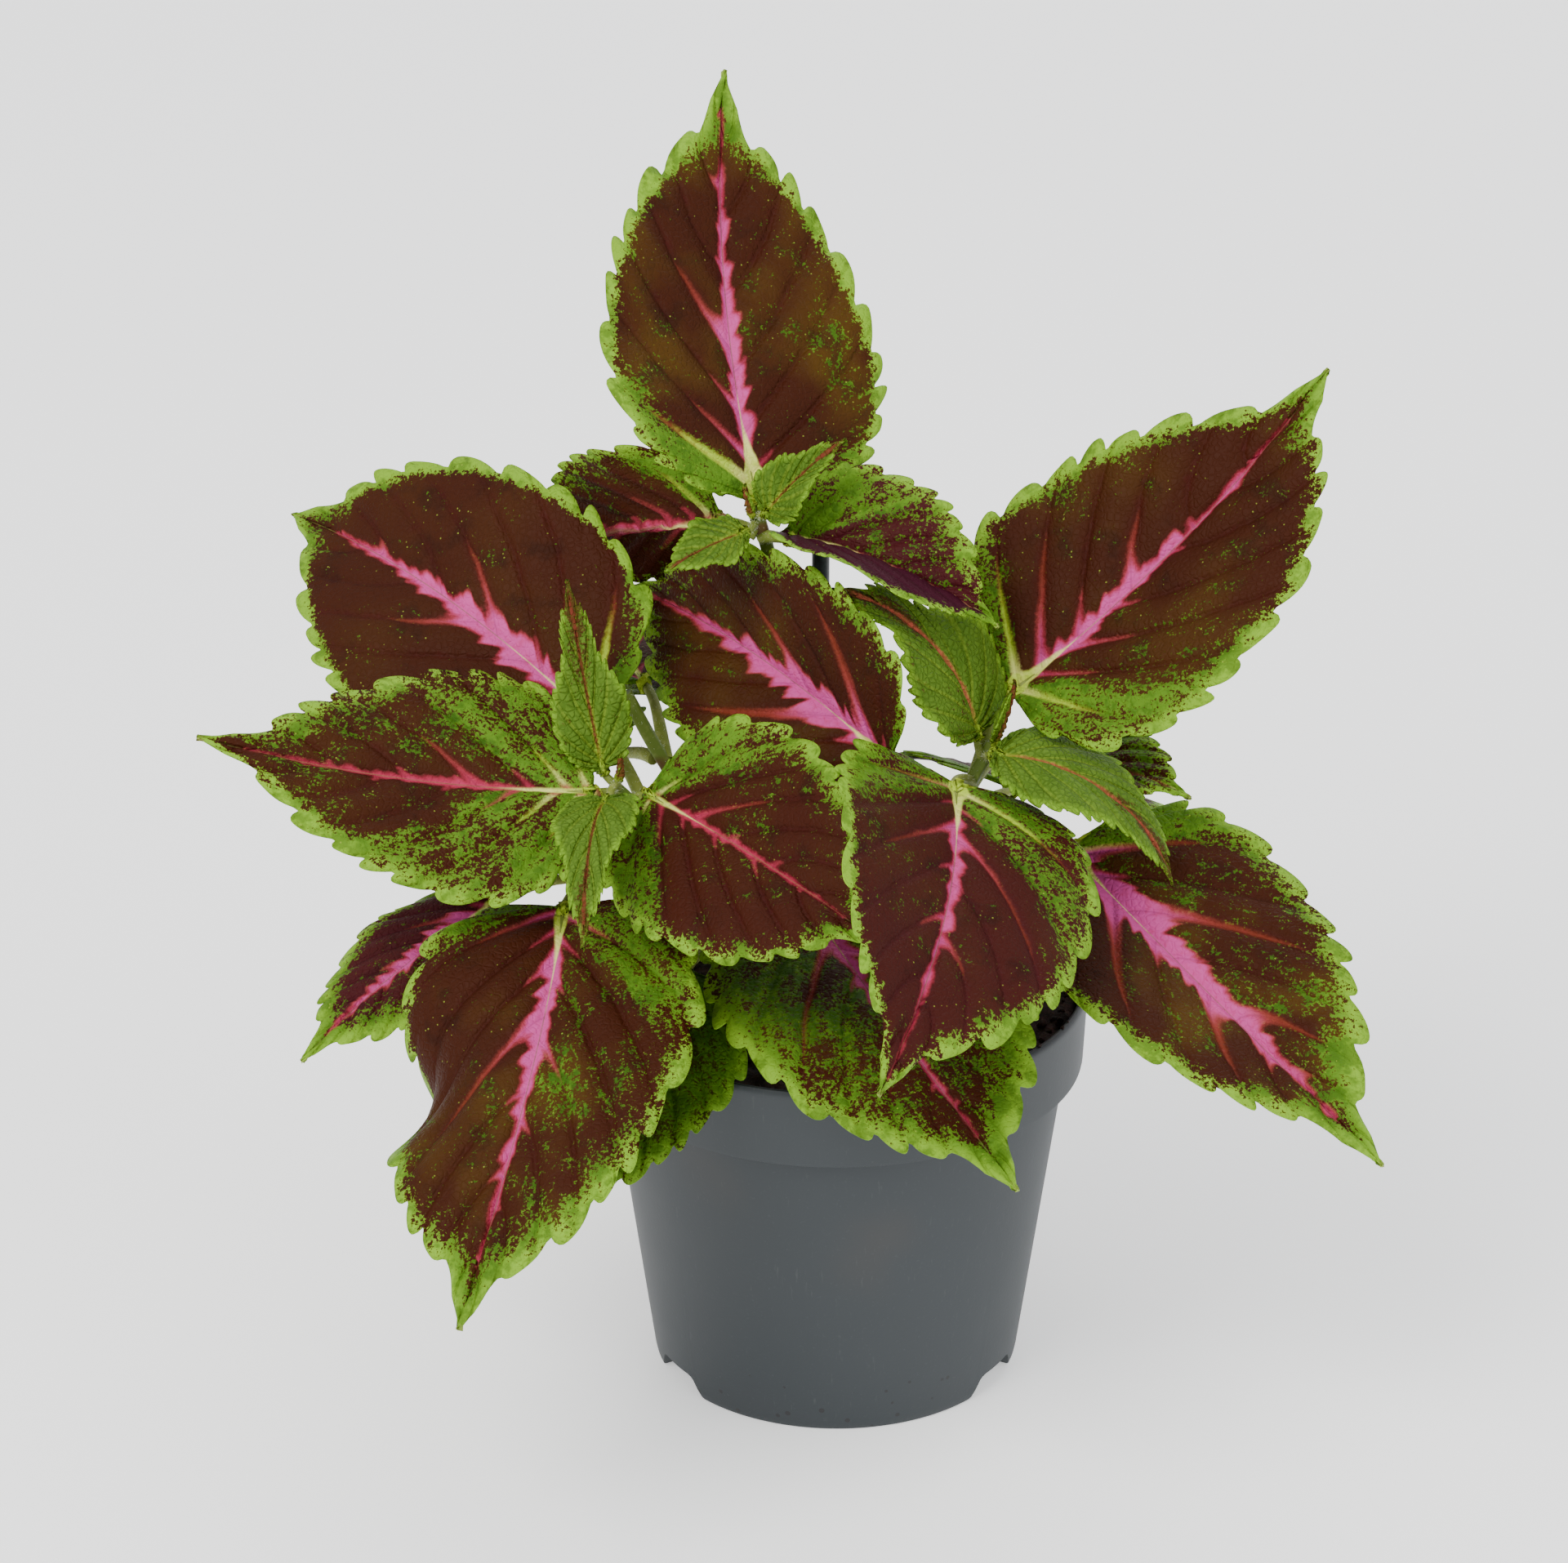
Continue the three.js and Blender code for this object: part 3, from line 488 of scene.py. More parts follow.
def addBlade(name, leaf, rib):
    # a grid whose rows run along the side veins, moved onto the bent blade and given its thickness
    start, end = leafForm["toothStart"], leafForm["toothEnd"]
    rows = round(leaf["teeth"] * leafMesh["rowsPerTooth"] / (end - start))
    deselectAll()
    bpy.ops.mesh.primitive_grid_add(x_subdivisions=rows, y_subdivisions=2 * leafMesh["columns"], size=2)
    blade = added(name)
    mesh = blade.data
    flat = np.empty(len(mesh.vertices) * 3)
    mesh.vertices.foreach_get("co", flat)
    row = np.clip((flat[0::3] + 1) / 2, 0, 1)
    hand = np.where(flat[1::3] < 0, -1, 1)
    reach = np.abs(flat[1::3]) ** leafMesh["spread"]
    # teeth of uneven width and depth
    toothSpan = (end - start) / leaf["teeth"]
    uneven = (row - start) / toothSpan * leafMesh["unevenPace"] + hand * leafMesh["unevenHand"]
    ease = np.clip(row * 6, 0, 1) * np.clip((1 - row) * 5, 0, 1)
    share = row + np.sin(uneven) * toothSpan * leafMesh["unevenWidth"] * ease
    depth = 1 + leafMesh["unevenDepth"] * np.sin(uneven * 2.3)
    tooth = 0.5 + (toothHeight(row, leaf["teeth"]) - 0.5) * depth
    length, neck = leaf["length"], leaf["petiole"][1]

    edgeAlong, edgeOut = marginAt(leaf, share, tooth, hand)
    notchAlong, notchOut = marginAt(leaf, share, 0 * share, hand)
    edgeOut = np.maximum(edgeOut, neck * (share < 0.9))
    foot = length * share ** (leafForm["veinSweep"][0] - leafForm["veinSweep"][1] * share ** 4)
    along = foot + (edgeAlong - foot) * reach
    out = edgeOut * reach
    rowLength, notchLength = np.hypot(edgeAlong - foot, edgeOut), np.hypot(notchAlong - foot, notchOut)
    edgeGap = (notchLength - rowLength * reach) * 0.8

    # puffed up between the side veins, with a groove over the midrib
    vein, veinStep = sideVeins(leaf, share, reach, hand < 0)
    between = 2 * np.abs(vein - np.round(vein))
    inside = np.clip(reach * 6, 0, 1) * np.clip((1 - reach) * 7, 0, 1) * np.clip(share * 5, 0, 1)
    scale = (length / 110) ** 0.6 * (0.75 if leaf["look"]["young"] else 1)
    puff = leafMesh["puff"] * leaf["puff"] * scale * (1 - (1 - between) ** 2.4) * inside
    rest = np.clip(1 - along / length, 0, 1)
    groove = leafMesh["groove"] * scale * np.exp(-(out / 1.1) ** 2) * rest ** 0.5
    spots = bentPoints(leaf, rib, along, out * hand, leafMesh["blade"] / 2 + puff - groove)
    mesh.vertices.foreach_set("co", (spots * mm + np.array(potAxis)).ravel())

    # the rib and the side veins stand out underneath
    swell = 2 * neck * rest ** 0.8 * np.exp(-(out / (neck * 0.9)) ** 2)
    swell += leafMesh["vein"] * scale * np.exp(-(between / 2 * veinStep / 0.6) ** 2) * (1 - reach) ** 0.7
    middle = np.clip((1 - reach) * 5, 0, 1)
    depth = leafMesh["edge"] + (leafMesh["blade"] - leafMesh["edge"]) * middle + swell
    thickest = float(depth.max())
    group = blade.vertex_groups.new(name="depth")
    for index, weight in enumerate(depth / thickest):
        group.add([index], float(weight), "REPLACE")

    loops = np.empty(len(mesh.loops), int)
    mesh.loops.foreach_get("vertex_index", loops)
    mesh.uv_layers[0].name = "leafRows"
    mesh.uv_layers.new(name="leafFlat")
    for layer, u, v in (("leafRows", share, 0.5 + hand * reach / 2),
                        ("leafFlat", along / length, 0.5 + hand * out / length)):
        mesh.uv_layers[layer].data.foreach_set("uv", np.stack([u, v], 1)[loops].ravel())
    mesh.attributes.new("edgeGap", "FLOAT", "POINT").data.foreach_set("value", edgeGap)

    editAll(blade, lambda: bpy.ops.mesh.remove_doubles(threshold=0.01 * mm))
    modify(blade, "SOLIDIFY", thickness=thickest * mm, offset=-1, vertex_group="depth",
           thickness_vertex_group=0.0, material_offset=1, material_offset_rim=0)
    return blade


def addStalk(name, leaf, rib):
    # a tapered tube from the stem up to the blade, and a little way on under its rib
    along, up = Vector(rib["along"][0]), Vector(rib["face"][0])
    length, (thick, neck) = leaf["length"], leaf["petiole"]
    start = Vector(leaf["node"])
    end = Vector(leaf["base"]) + up * (0.4 - neck)
    reach = (end - start).length
    leave = start.lerp(end, 0.35) + Vector((0, 0, reach * leaf["arch"]))
    step = round(leafForm["ribSteps"] * 0.06)
    under = Vector(rib["place"][step]) - Vector(rib["face"][step]) * neck * 0.7
    stalk, points = addCurve(name, 3)
    # place, both handles and half thickness
    shape = ((start, start - (leave - start) * 0.3, leave, thick * 1.15),
             (end, end - along * reach * 0.35, end + along * length * 0.02, neck),
             (under, under - along * length * 0.02, under + along, neck * 0.6))
    for point, (place, before, after, radius) in zip(points, shape):
        point.handle_left_type = point.handle_right_type = "FREE"
        point.co, point.handle_left, point.handle_right = placed(place), placed(before), placed(after)
        point.radius = radius
    stalk.data.dimensions = "3D"
    stalk.data.bevel_depth, stalk.data.bevel_resolution, stalk.data.resolution_u = mm, 4, 14
    return meshed(stalk)


downForm = dict(length=(0.5, 1.1), radius=0.035, perLeaf=150, onStems=1500, lean=0.5)


def addDown(target, count, seed):
    # short hairs, each a slim cone, standing on the faces of a stem or a stalk
    deselectAll()
    bpy.ops.mesh.primitive_cone_add(vertices=3, radius1=1, depth=1, location=(0, 0, 0.4))
    cone = bpy.context.object
    bpy.ops.object.transform_apply(location=True, rotation=True, scale=True)
    points = np.array([v.co for v in cone.data.vertices])
    faces = [tuple(face.vertices) for face in cone.data.polygons]
    bpy.data.objects.remove(cone)
    mesh = target.data
    dice = random.Random(seed)
    chosen = dice.choices(mesh.polygons, weights=[face.area for face in mesh.polygons], k=count)
    spots, sides = [], []
    for number, face in enumerate(chosen):
        a, b, c = (mesh.vertices[k].co for k in list(face.vertices)[:3])
        u, v = dice.random() * 0.5, dice.random() * 0.5
        root = a + (b - a) * u + (c - a) * v
        lean = Vector([dice.uniform(-1, 1) * downForm["lean"] for _ in range(3)])
        turn = (face.normal + lean).to_track_quat("Z", "Y").to_matrix()
        size = np.array([downForm["radius"]] * 2 + [dice.uniform(*downForm["length"])]) * mm
        spots += [root + turn @ Vector(point) for point in points * size]
        sides += [tuple(k + number * len(points) for k in face) for face in faces]
    hairs = built(target.name + "Down", spots, [], sides)
    dress(hairs, worn("paleDown", lambda paint: paint.principled((*colour(196, 204, 172), 1), 0.7, 0.1)))
    return hairs


def addLeaf(name, row, look):
    *row, unusual = row
    young = youngUsual if look.get("young") else {}
    leaf = {**leafUsual, **young, "look": {**leafLook, **look}, **dict(zip(leafColumns, row)), **unusual}
    rib = midribOf(leaf)
    blade = addBlade(name, leaf, rib)
    stalk = addStalk(name + "Stalk", leaf, rib)
    under = "youngUnder" if young else "leafUnder"
    dress(blade, worn(name + "Top", leafTopPaint, leaf), worn(under, underPaint, bool(young)))
    dress(stalk, worn("stalk", stalkPaint))
    seed = sum(ord(letter) * (k + 1) for k, letter in enumerate(name))
    blade = joined(blade, stalk, addDown(stalk, downForm["perLeaf"], seed))
    bpy.ops.object.shade_smooth()
    return blade


# ---- leaf colours

leafColours = dict(
    maroon=colour(52, 24, 6), red=colour(62, 16, 10), purple=colour(66, 12, 27), olive=colour(73, 51, 12),
    dark=colour(31, 12, 6), pink=colour(194, 76, 146), rose=colour(166, 46, 70), ember=colour(114, 46, 30),
    salmon=colour(166, 78, 60), cream=colour(220, 222, 122), lime=colour(172, 198, 56),
    margin=colour(122, 164, 40), green=colour(84, 122, 26), deepGreen=colour(44, 76, 14),
    young=colour(84, 112, 34), dusk=colour(50, 7, 27), rust=colour(92, 38, 24), dots=colour(142, 160, 54),
)
leafGrain = dict(speck=1250, fleck=420, blotch=110, patch=38, dots=480, net=640)
# pink: half width of the pink along the midrib, mm, between the shares pinkFrom and pinkEnd; rosy: how
# red it is; veins: how far the colour runs out along each side vein from the base up, left and right,
# as shares of the half; basal: how many of them are cream and lime, and cream: half width of the cream
# at the stalk, mm; margin: width of the green edge inside the teeth, mm, and blur: of the speckled strip
# behind it; corner: side veins that the green of the base reaches up, and full: how solid it is; tip:
# where the green of the tip starts; speck: green flecks in the field; patchy: how uneven they are.
# One more key is painted shade: how far a leaf that lies in shadow is darkened towards deep green.
leafLook = dict(pink=2.4, pinkFrom=0.1, pinkEnd=0.88, rosy=0.15, basal=(0.5, 0.5), cream=0.9, full=0.5,
                veins=((0, 0.3, 0.2, 0.6, 0.2, 0.4, 0.2), (0, 0.3, 0.2, 0.6, 0.2, 0.4, 0.2)),
                margin=(0, 0), blur=(2.6, 2.6), corner=(0.9, 0.9), tip=0.92, speck=(0.05, 0.05),
                patchy=1.2, purple=0.3, olive=0.4, shade=0.0, young=False, dusk=0, arms=1)
leafLooks = {
    "leaf_top_tall": dict(pink=2.8, pinkEnd=0.93, arms=1.6, basal=(1.5, 0.8), cream=3.4,
        veins=((0.3, 0.85, 0.5, 0.3, 0.7, 0.2, 0.5), (0.3, 0.2, 0.2, 0.1, 0.15, 0.1, 0.1)), corner=(1.1, 0.8),
        full=0.8, speck=(0.1, 0.28), patchy=1.8, tip=0.87, olive=0.8),
    "leaf_top_left": dict(pink=0.65, rosy=0.4, pinkFrom=0.12, arms=0.5, basal=(1.5, 1.5), cream=0.35,
        veins=((0.6, 0.7, 0.2, 0.5, 0.2, 0.4, 0.2), (0.4, 0.6, 0.2, 0.6, 0.2, 0.4, 0.2)), corner=(1.4, 2),
        full=0.35, margin=(1.5, 3), blur=(8, 9), speck=(0.45, 0.7), patchy=2.2),
    "leaf_top_right": dict(pink=0.2, rosy=1, pinkFrom=0.3, cream=0.5, veins=((0, 0), (0, 0)),
        corner=(2.6, 0.6), full=0.4, margin=(2.5, 0.5), blur=(8, 4), speck=(0.75, 0.1), patchy=2.2, purple=1,
        olive=0.2, dusk=-1),
    "leaf_middle_back": dict(pink=3.9, pinkEnd=0.97, arms=1.4, cream=1.5,
        veins=((0.3, 0.2, 0.2, 0.9, 0.2, 0.3, 0.2), (0.2, 0.2, 0.9, 0.15, 0.75, 0.25, 0.3)),
        corner=(0.2, 0.5), margin=(0.6, 2.2), blur=(6, 8), speck=(0.2, 0.3), patchy=1.7, tip=0.93, olive=0.6),
    "leaf_left_long": dict(pink=1.4, rosy=0.9, pinkFrom=0.18, pinkEnd=0.9, basal=(2.5, 2.5), cream=0.7,
        veins=((0.5, 0.5, 0.4, 0.3, 0.15, 0.2, 0.2), (0.5, 0.6, 0.4, 0.2, 0.6, 0.2, 0.25)), corner=(3.4, 3),
        full=0.18, margin=(-0.4, 0.4), blur=(4, 7), speck=(0.33, 0.3), patchy=2, tip=0.96, olive=0.15),
    "leaf_centre_left": dict(pink=1.2, rosy=0.9, pinkFrom=0.12, basal=(1.5, 1.5), cream=0.8,
        veins=((0.4, 0.25, 0.2, 0.6, 0.15, 0.25, 0.2), (0.4, 0.2, 0.4, 0.15, 0.2, 0.3, 0.2)),
        corner=(1.6, 1.8), full=0.12, margin=(0.8, 0.8), blur=(5, 6), speck=(0.25, 0.3), patchy=2,
        purple=0.45, olive=0.1),
    "leaf_front_left": dict(pink=2.8, arms=1.2, basal=(0.8, 0.4), cream=1.6,
        veins=((0.4, 0.4, 0.2, 0.15, 0.4, 0.3, 0.3), (0.2, 0.6, 0.2, 0.2, 0.8, 0.25, 0.35)),
        corner=(1.6, 0.8), full=0.15, margin=(2.2, 0.4), blur=(9, 4), speck=(0.6, 0.22), patchy=2, tip=0.89,
        olive=0.7),
    "leaf_upper_left": dict(pink=3.7, pinkEnd=0.84, basal=(0.5, 1.4), cream=0.6,
        veins=((0, 0.1, 0.15, 0.2, 0.6, 0.2, 0.15), (0.2, 0.85, 0.6, 0.2, 0.6, 0.2, 0.4)), corner=(0.2, 0.6),
        full=0.8, margin=(0, 0.4), blur=(2, 2), tip=0.95, olive=0.15),
    "leaf_low_left": dict(pink=3, corner=(0.4, 0.4), margin=(4, 2), blur=(7, 6), speck=(0.5, 0.3), tip=0.8,
        purple=1, olive=0.1),
    "leaf_under_left": dict(pink=1.2, corner=(1.4, 1.4), margin=(5, 5), blur=(14, 14), speck=(1.1, 1.1),
        shade=0.35),
    "leaf_right_tall": dict(basal=(1.5, 1.5), cream=2.4,
        veins=((0.5, 0.85, 0.8, 0.3, 0.6, 0.2, 0.2), (0.8, 0.7, 0.4, 0.4, 0.2, 0.15, 0.1)), corner=(1, 1.6),
        full=0.14, margin=(0.3, 0.6), blur=(3.5, 4), speck=(0.1, 0.25), patchy=1.8),
    "leaf_front_centre": dict(pink=1.9, rosy=0.3, pinkEnd=0.98, arms=0.7, basal=(1.5, 0.9), cream=2.2,
        veins=((0.4, 0.9, 0.2, 0.9, 0.15, 0.6, 0.2), (0.3, 0.85, 0.15, 0.75, 0.2, 0.4, 0.2)),
        corner=(2.1, 1.7), full=0.08, margin=(0.5, 0), blur=(4.5, 2.5), speck=(0.22, 0.18), patchy=1.6,
        tip=0.98, purple=0.7, olive=0.15),
    "leaf_right_long": dict(pink=4.8, pinkFrom=0.06, arms=1.2, basal=(0.8, 0.4), cream=2.4,
        veins=((0.6, 0.75, 0.2, 0.9, 0.25, 0.85, 0.5), (0.2, 0.8, 0.2, 0.9, 0.3, 0.85, 0.5)), corner=(1, 0.4),
        margin=(3, 1), blur=(9, 5), speck=(0.6, 0.4), patchy=1.7, tip=0.86, olive=0.8),
    "leaf_right_behind": dict(pink=0.5, corner=(0.8, 0.8), margin=(4, 4), blur=(12, 12), speck=(0.9, 0.9)),
    "leaf_over_pot": dict(pink=2.2, rosy=0.3, pinkEnd=0.85,
        veins=((0, 0.2, 0.2, 0.8, 0.2, 0.5, 0.3), (0, 0.2, 0.2, 0.9, 0.2, 0.7, 0.3)), corner=(1.3, 1.3),
        margin=(5, 5), blur=(11, 11), speck=(1, 1), patchy=2.2, tip=0.8),
    "leaf_top_young_right": dict(young=True, speck=(0.15, 0.15), shade=0.25),
    "leaf_top_young_left": dict(young=True, speck=(0.1, 0.1), shade=0.1),
    "leaf_left_young_up": dict(young=True, speck=(0.34, 0.34)),
    "leaf_left_young_down": dict(young=True, speck=(0.2, 0.2)),
    "leaf_right_young_left": dict(young=True, rosy=1, speck=(0.46, 0.38), shade=0.1),
    "leaf_right_young_right": dict(young=True, rosy=0.7, speck=(0.28, 0.28)),
}


def leafTopPaint(paint, leaf):
    mix, fade, fall, grain = paint.mix, paint.fade, paint.fall, paint.grain
    look, c, size, length = leaf["look"], leafColours, leafGrain, leaf["length"]
    place = paint.place()
    share, sideways = paint.uv("leafRows")
    along, outShare = paint.uv("leafFlat")
    edgeGap = paint.edgeGap()
    reach = (sideways * 2 - 1).maths("ABSOLUTE")
    isRight = sideways < 0.5
    ribGap = (outShare - 0.5).maths("ABSOLUTE") * length              # millimetres from the midrib
    byHand = lambda pair: pair[0] if pair[0] == pair[1] else isRight * (pair[1] - pair[0]) + pair[0]

    # noises about zero, from fine to coarse
    speck = grain(place, size["speck"], detail=4, roughness=0.72) - 0.5
    fleck = grain(place, size["fleck"], detail=2, roughness=0.6) - 0.5
    streaky = paint.together(share * length * 0.42, reach * leaf["width"] * 0.13 + isRight * 9, along * 3)
    streak = grain(streaky, 1, detail=3, roughness=0.6) - 0.5
    blotch = grain(place, size["blotch"], detail=2) - 0.5
    patch = grain(place, size["patch"], detail=1) - 0.5

    vein, veinStep = sideVeins(leaf, share, reach, isRight)
    vein = vein + blotch * 0.16
    which = vein.maths("ROUND")
    between = (vein - which).maths("ABSOLUTE") * 2
    veinGap = between * veinStep / 2

    # green edge, green corners at the base, green tip, and flecks of it between
    edge = ((edgeGap * -1 + byHand(look["margin"])) / byHand(look["blur"])).maths("MINIMUM", 1.4)
    corner = (vein * -1 + byHand(look["corner"])) * 2.2 + fade(reach, 0.0, 0.25) * 0.8 - 0.8
    tip = (along - look["tip"]) * 9 + (reach - 0.3) * 1.5
    base = edge.maths("MAXIMUM", byHand(look["speck"]) - 1.0)
    base = base.maths("MAXIMUM", corner.maths("MINIMUM", look["full"])).maths("MAXIMUM", tip)
    flecking = speck * 4.2 + fleck * 1.4 + streak * 2.2 + (blotch + patch) * (0.9 * look["patchy"])
    isGreen = fade(base + flecking, -0.08, 0.12)

    green = mix(fade(edgeGap, -1.8, 3.0), c["margin"], c["green"])
    green = mix(fade(blotch + fleck * 0.8, -0.04, 0.2) * 0.55, green, c["deepGreen"])
    inner = fade(edgeGap, 2.0, 11.0) * (1 - fade(corner.maths("MAXIMUM", tip), 0.1, 0.6) * 0.7)
    green = mix(inner * fade(fleck, -0.2, 0.2) * 0.75, green, c["deepGreen"])
    net = paint.cells(place, size["net"], 0.95, "DISTANCE_TO_EDGE")
    if look["young"]:
        # green, with painted shade that darkens a leaf in shadow towards deep green, a brown rib, dusky
        # specks beside it and a dark net of small veins
        skin = mix(fade(blotch, -0.1, 0.2) * 0.3 + look["shade"], c["young"], c["deepGreen"])
        skin = mix(fall(edgeGap, -0.8, 1.4) * 0.7, skin, c["margin"])
        nearRib = fall(ribGap, 0.3, 4.5) * fade(along, 0.3, 0.7)
        dusky = fade(nearRib * 0.4 + byHand(look["speck"]) + flecking * 0.3, 0.55, 0.68)
        skin = mix(dusky * 0.85, skin, mix(0.5, c["rust"], c["dark"]))
        skin = mix(fall(veinGap, 0.12, 0.4) * (1 - reach * 0.7) * 0.25, skin, c["lime"])
        skin = mix(fall(ribGap, 0.3, 1.1) * fall(along, 0.1, 0.6) * 0.5, skin, c["lime"])
        rib = fall(ribGap * (1 / (1 + look["rosy"])) + speck * 0.9, 0.15, 0.55)
        rib = rib * fade(along, 0.0, 0.16) * fall(along, 0.86, 0.97)
        skin = mix(rib * 0.9, skin, mix(look["rosy"], c["rust"], c["salmon"]))
        skin = mix(fall(net, 0.0, 0.12) * 0.35, skin, c["deepGreen"])
    else:
        # the dark field: redder along the veins and olive between them
        redder = mix(look["purple"], c["red"], c["purple"])
        nearVein = fall(between, 0.05, 0.6) * 0.3 + fleck * 0.8 + patch * 0.4 + 0.2
        field = mix(fade(nearVein, 0.3, 0.9) * 0.6, c["maroon"], redder)
        field = mix(look["purple"] * 0.6, field, redder)
        field = mix(fade(between * 0.05 + patch + blotch * 0.3, -0.09, 0.21) * look["olive"],
                    field, c["olive"])
        field = mix(fade(blotch + fleck * 0.3, 0.0, 0.25) * 0.5, field, c["dark"])
        if look["dusk"]:
            dusk = isRight if look["dusk"] < 0 else 1 - isRight
            isGreen = isGreen * (1 - dusk * fade(edgeGap + fleck * 4, 0.6, 2.2))
            field = mix(dusk * 0.8, field, c["dusk"])
        skin = mix(isGreen, field, green)
        isDot = (paint.cells(place, size["dots"]) < 0.1) * fade((speck + blotch) * 0.5, -0.04, 0.06)
        skin = mix(isDot * 0.55, skin, c["dots"])

        # pink along the midrib, ragged, with arms that thin out along the side veins
        start, end = look["pinkFrom"], look["pinkEnd"]
        spikePlace = paint.together((along - ribGap * (0.8 / length)) * 17 + isRight * 31, length)
        spikes = grain(spikePlace, 1, detail=1.5, roughness=0.5)
        rag = ((spikes - 0.5) * 4.4 + 0.9).maths("MAXIMUM", 0.4)
        body = fade(along, start - 0.06, start + 0.1) * (1.04 - fade(along, 0.15, end + 0.05) * 0.86)
        gate = fall(along + fleck * 0.1, end - 0.03, end + 0.03)
        half = body * rag * look["pink"]
        strength = mix(isRight, *(paint.node("ShaderNodeValToRGB", {"stops": [
            (max(0, i / 12 - 0.04), strong) for i, strong in enumerate(strengths)]}, {0: which / 12})
            for strengths in look["veins"]))
        left = 1 - reach / (strength + 0.02)                          # what is left of the arm
        flare = fall(ribGap - half, -1.5, 5.0) ** 2 * (strength * 0.7 + 0.2) * look["pink"]
        armHalf = left.maths("MINIMUM", 0.8) * (strength * 0.9 + 0.1) * (blotch + 0.9)
        armHalf = armHalf * ((0.5 + 0.22 * look["pink"]) * look["arms"]) + flare * left * 0.9
        armHalf = armHalf - fall(left, 0.0, 0.3) * 0.7
        inPink = (half - ribGap).maths("MAXIMUM", armHalf - veinGap) - (1 - gate) * 4
        skin = mix(fade(inPink, -2.0, 0.1) * (1 - isGreen) * 0.3, skin, redder)
        basal = fall(vein - byHand(look["basal"]), -0.2, 0.2) * fade(ribGap, 0.6, 2.2)
        basalTone = mix(fade(reach, 0.06, 0.25), c["cream"], c["lime"])
        basalTone = mix(fade(reach + fleck * 0.4, 0.35, 0.7), basalTone, c["ember"])
        armTone = mix(fade(reach, 0.04, 0.3) * 0.45, c["rose"], c["salmon"])
        armTone = mix(fade(reach, 0.12, 0.55), armTone, c["ember"])
        armTone = mix(basal, armTone, basalTone)
        skin = mix(fade(inPink + speck, -0.6, 0.5) * 0.8, skin, armTone)
        coreTone = mix(fade(along, 0.55, 0.95) * 0.7 + look["rosy"], c["pink"], c["rose"])
        coreTone = mix(fade(reach, 0.1, 0.4), coreTone, armTone)
        coreTone = mix(basal, coreTone, basalTone)
        coreTone = mix(fade(fleck, 0.0, 0.25) * 0.35, coreTone, c["rose"])
        skin = mix(fade(inPink + speck * 0.9, 0.0, 1.3), skin, coreTone)

        # cream where the veins meet the stalk, and a thin line on the midrib
        inward = fall(along, start - 0.05, start + 0.12)
        ribCream = inward * (rag * 0.4 + 0.6) * (look["cream"] * (1 - along / (start + 0.14)) + 0.25)
        creamTone = mix(fade(along + fleck * 0.2, 0.0, 0.14), c["lime"], c["cream"])
        skin = mix(fade(ribCream - ribGap, -0.25, 0.5) * 0.9, skin, creamTone)
        lineTone = mix(fade(along + blotch * 0.3, 0.16, 0.3), c["cream"], c["purple"])
        skin = mix(fall(ribGap, 0.05, 0.22) * gate * 0.5, skin, lineTone)
        # painted shade: a leaf that lies in shadow is darkened towards deep green
        if look["shade"]:
            skin = mix(look["shade"], skin, c["deepGreen"])
    # painted shade in the sunk side veins: the colour darkens along each vein, most towards the midrib
    skin = mix(fall(veinGap, 0.04, 0.24) * (1 - reach * 0.8) * 0.25, skin, c["dark"])
    height = (fade(net, 0.0, 0.22) * (0.7 if look["young"] else 0.3) + speck * 0.2 + fleck * 0.5
              + fade(veinGap, 0.0, 0.9) * 0.8)
    paint.principled(skin, 0.54 + blotch * 0.16, 0.06, (height, 0.8, 0.0005))


def underPaint(paint, young):
    place = paint.place()
    blotches, specks = paint.grain(place, 90), paint.grain(place, 800)
    net = paint.cells(place, 620, 0.9, "DISTANCE_TO_EDGE")
    ground = colour(122, 150, 84) if young else colour(112, 74, 72)
    skin = paint.mix(paint.fade(blotches, 0.35, 0.7), ground, colour(104, 116, 66))
    skin = paint.mix(paint.fall(paint.edgeGap() + specks * 1.5, 0.4, 2.2), skin, colour(134, 168, 84))
    skin = paint.mix(paint.fall(net, 0.0, 0.12) * 0.4, skin, colour(158, 160, 118))
    paint.principled(skin, 0.62, 0.12, (net + specks * 0.4, 0.5, 0.0004))


def stalkPaint(paint):
    place = paint.place()
    blotches, streaks = paint.grain(place, 70), paint.grain(place, 500)
    skin = paint.mix(blotches, colour(88, 108, 30), colour(134, 138, 66))
    skin = paint.mix(paint.fade(streaks, 0.45, 0.75) * 0.4, skin, colour(156, 160, 96))
    paint.principled(skin, 0.55, 0.12, (streaks, 0.35, 0.0003))


# ---- stems

# each branch: its path, and half its thickness at the foot and at the top
branches = dict(
    main=(((-1, 5, 62), (-1, 6, 90), (-2, 10, 118), (-6, 20, 150), (-13, 24, 185), (-19, 21, 211)),
          2.9, 1.5),
    left=(((-1, 6, 101), (-12, -3, 116), (-30, -12, 137), (-44, -16, 149), (-52.5, -17, 158)), 2.2, 1.3),
    leftBack=(((-2, 8, 105), (-15, 8, 119), (-30, 8, 135), (-42, 8, 154), (-50, 8, 170)), 2.0, 1.5),
    right=(((-1, 6, 103), (9, 0, 116), (20, -5, 131), (29, -6, 149), (36, -3, 162)), 2.3, 1.4),
)
stemSection = dict(handle=0.9, resolution=5)
stemNodes = ((-42, 8, 152), (-30, -12, 137), (29, -6, 149), (-2, 9, 105), (-18, 21, 206))
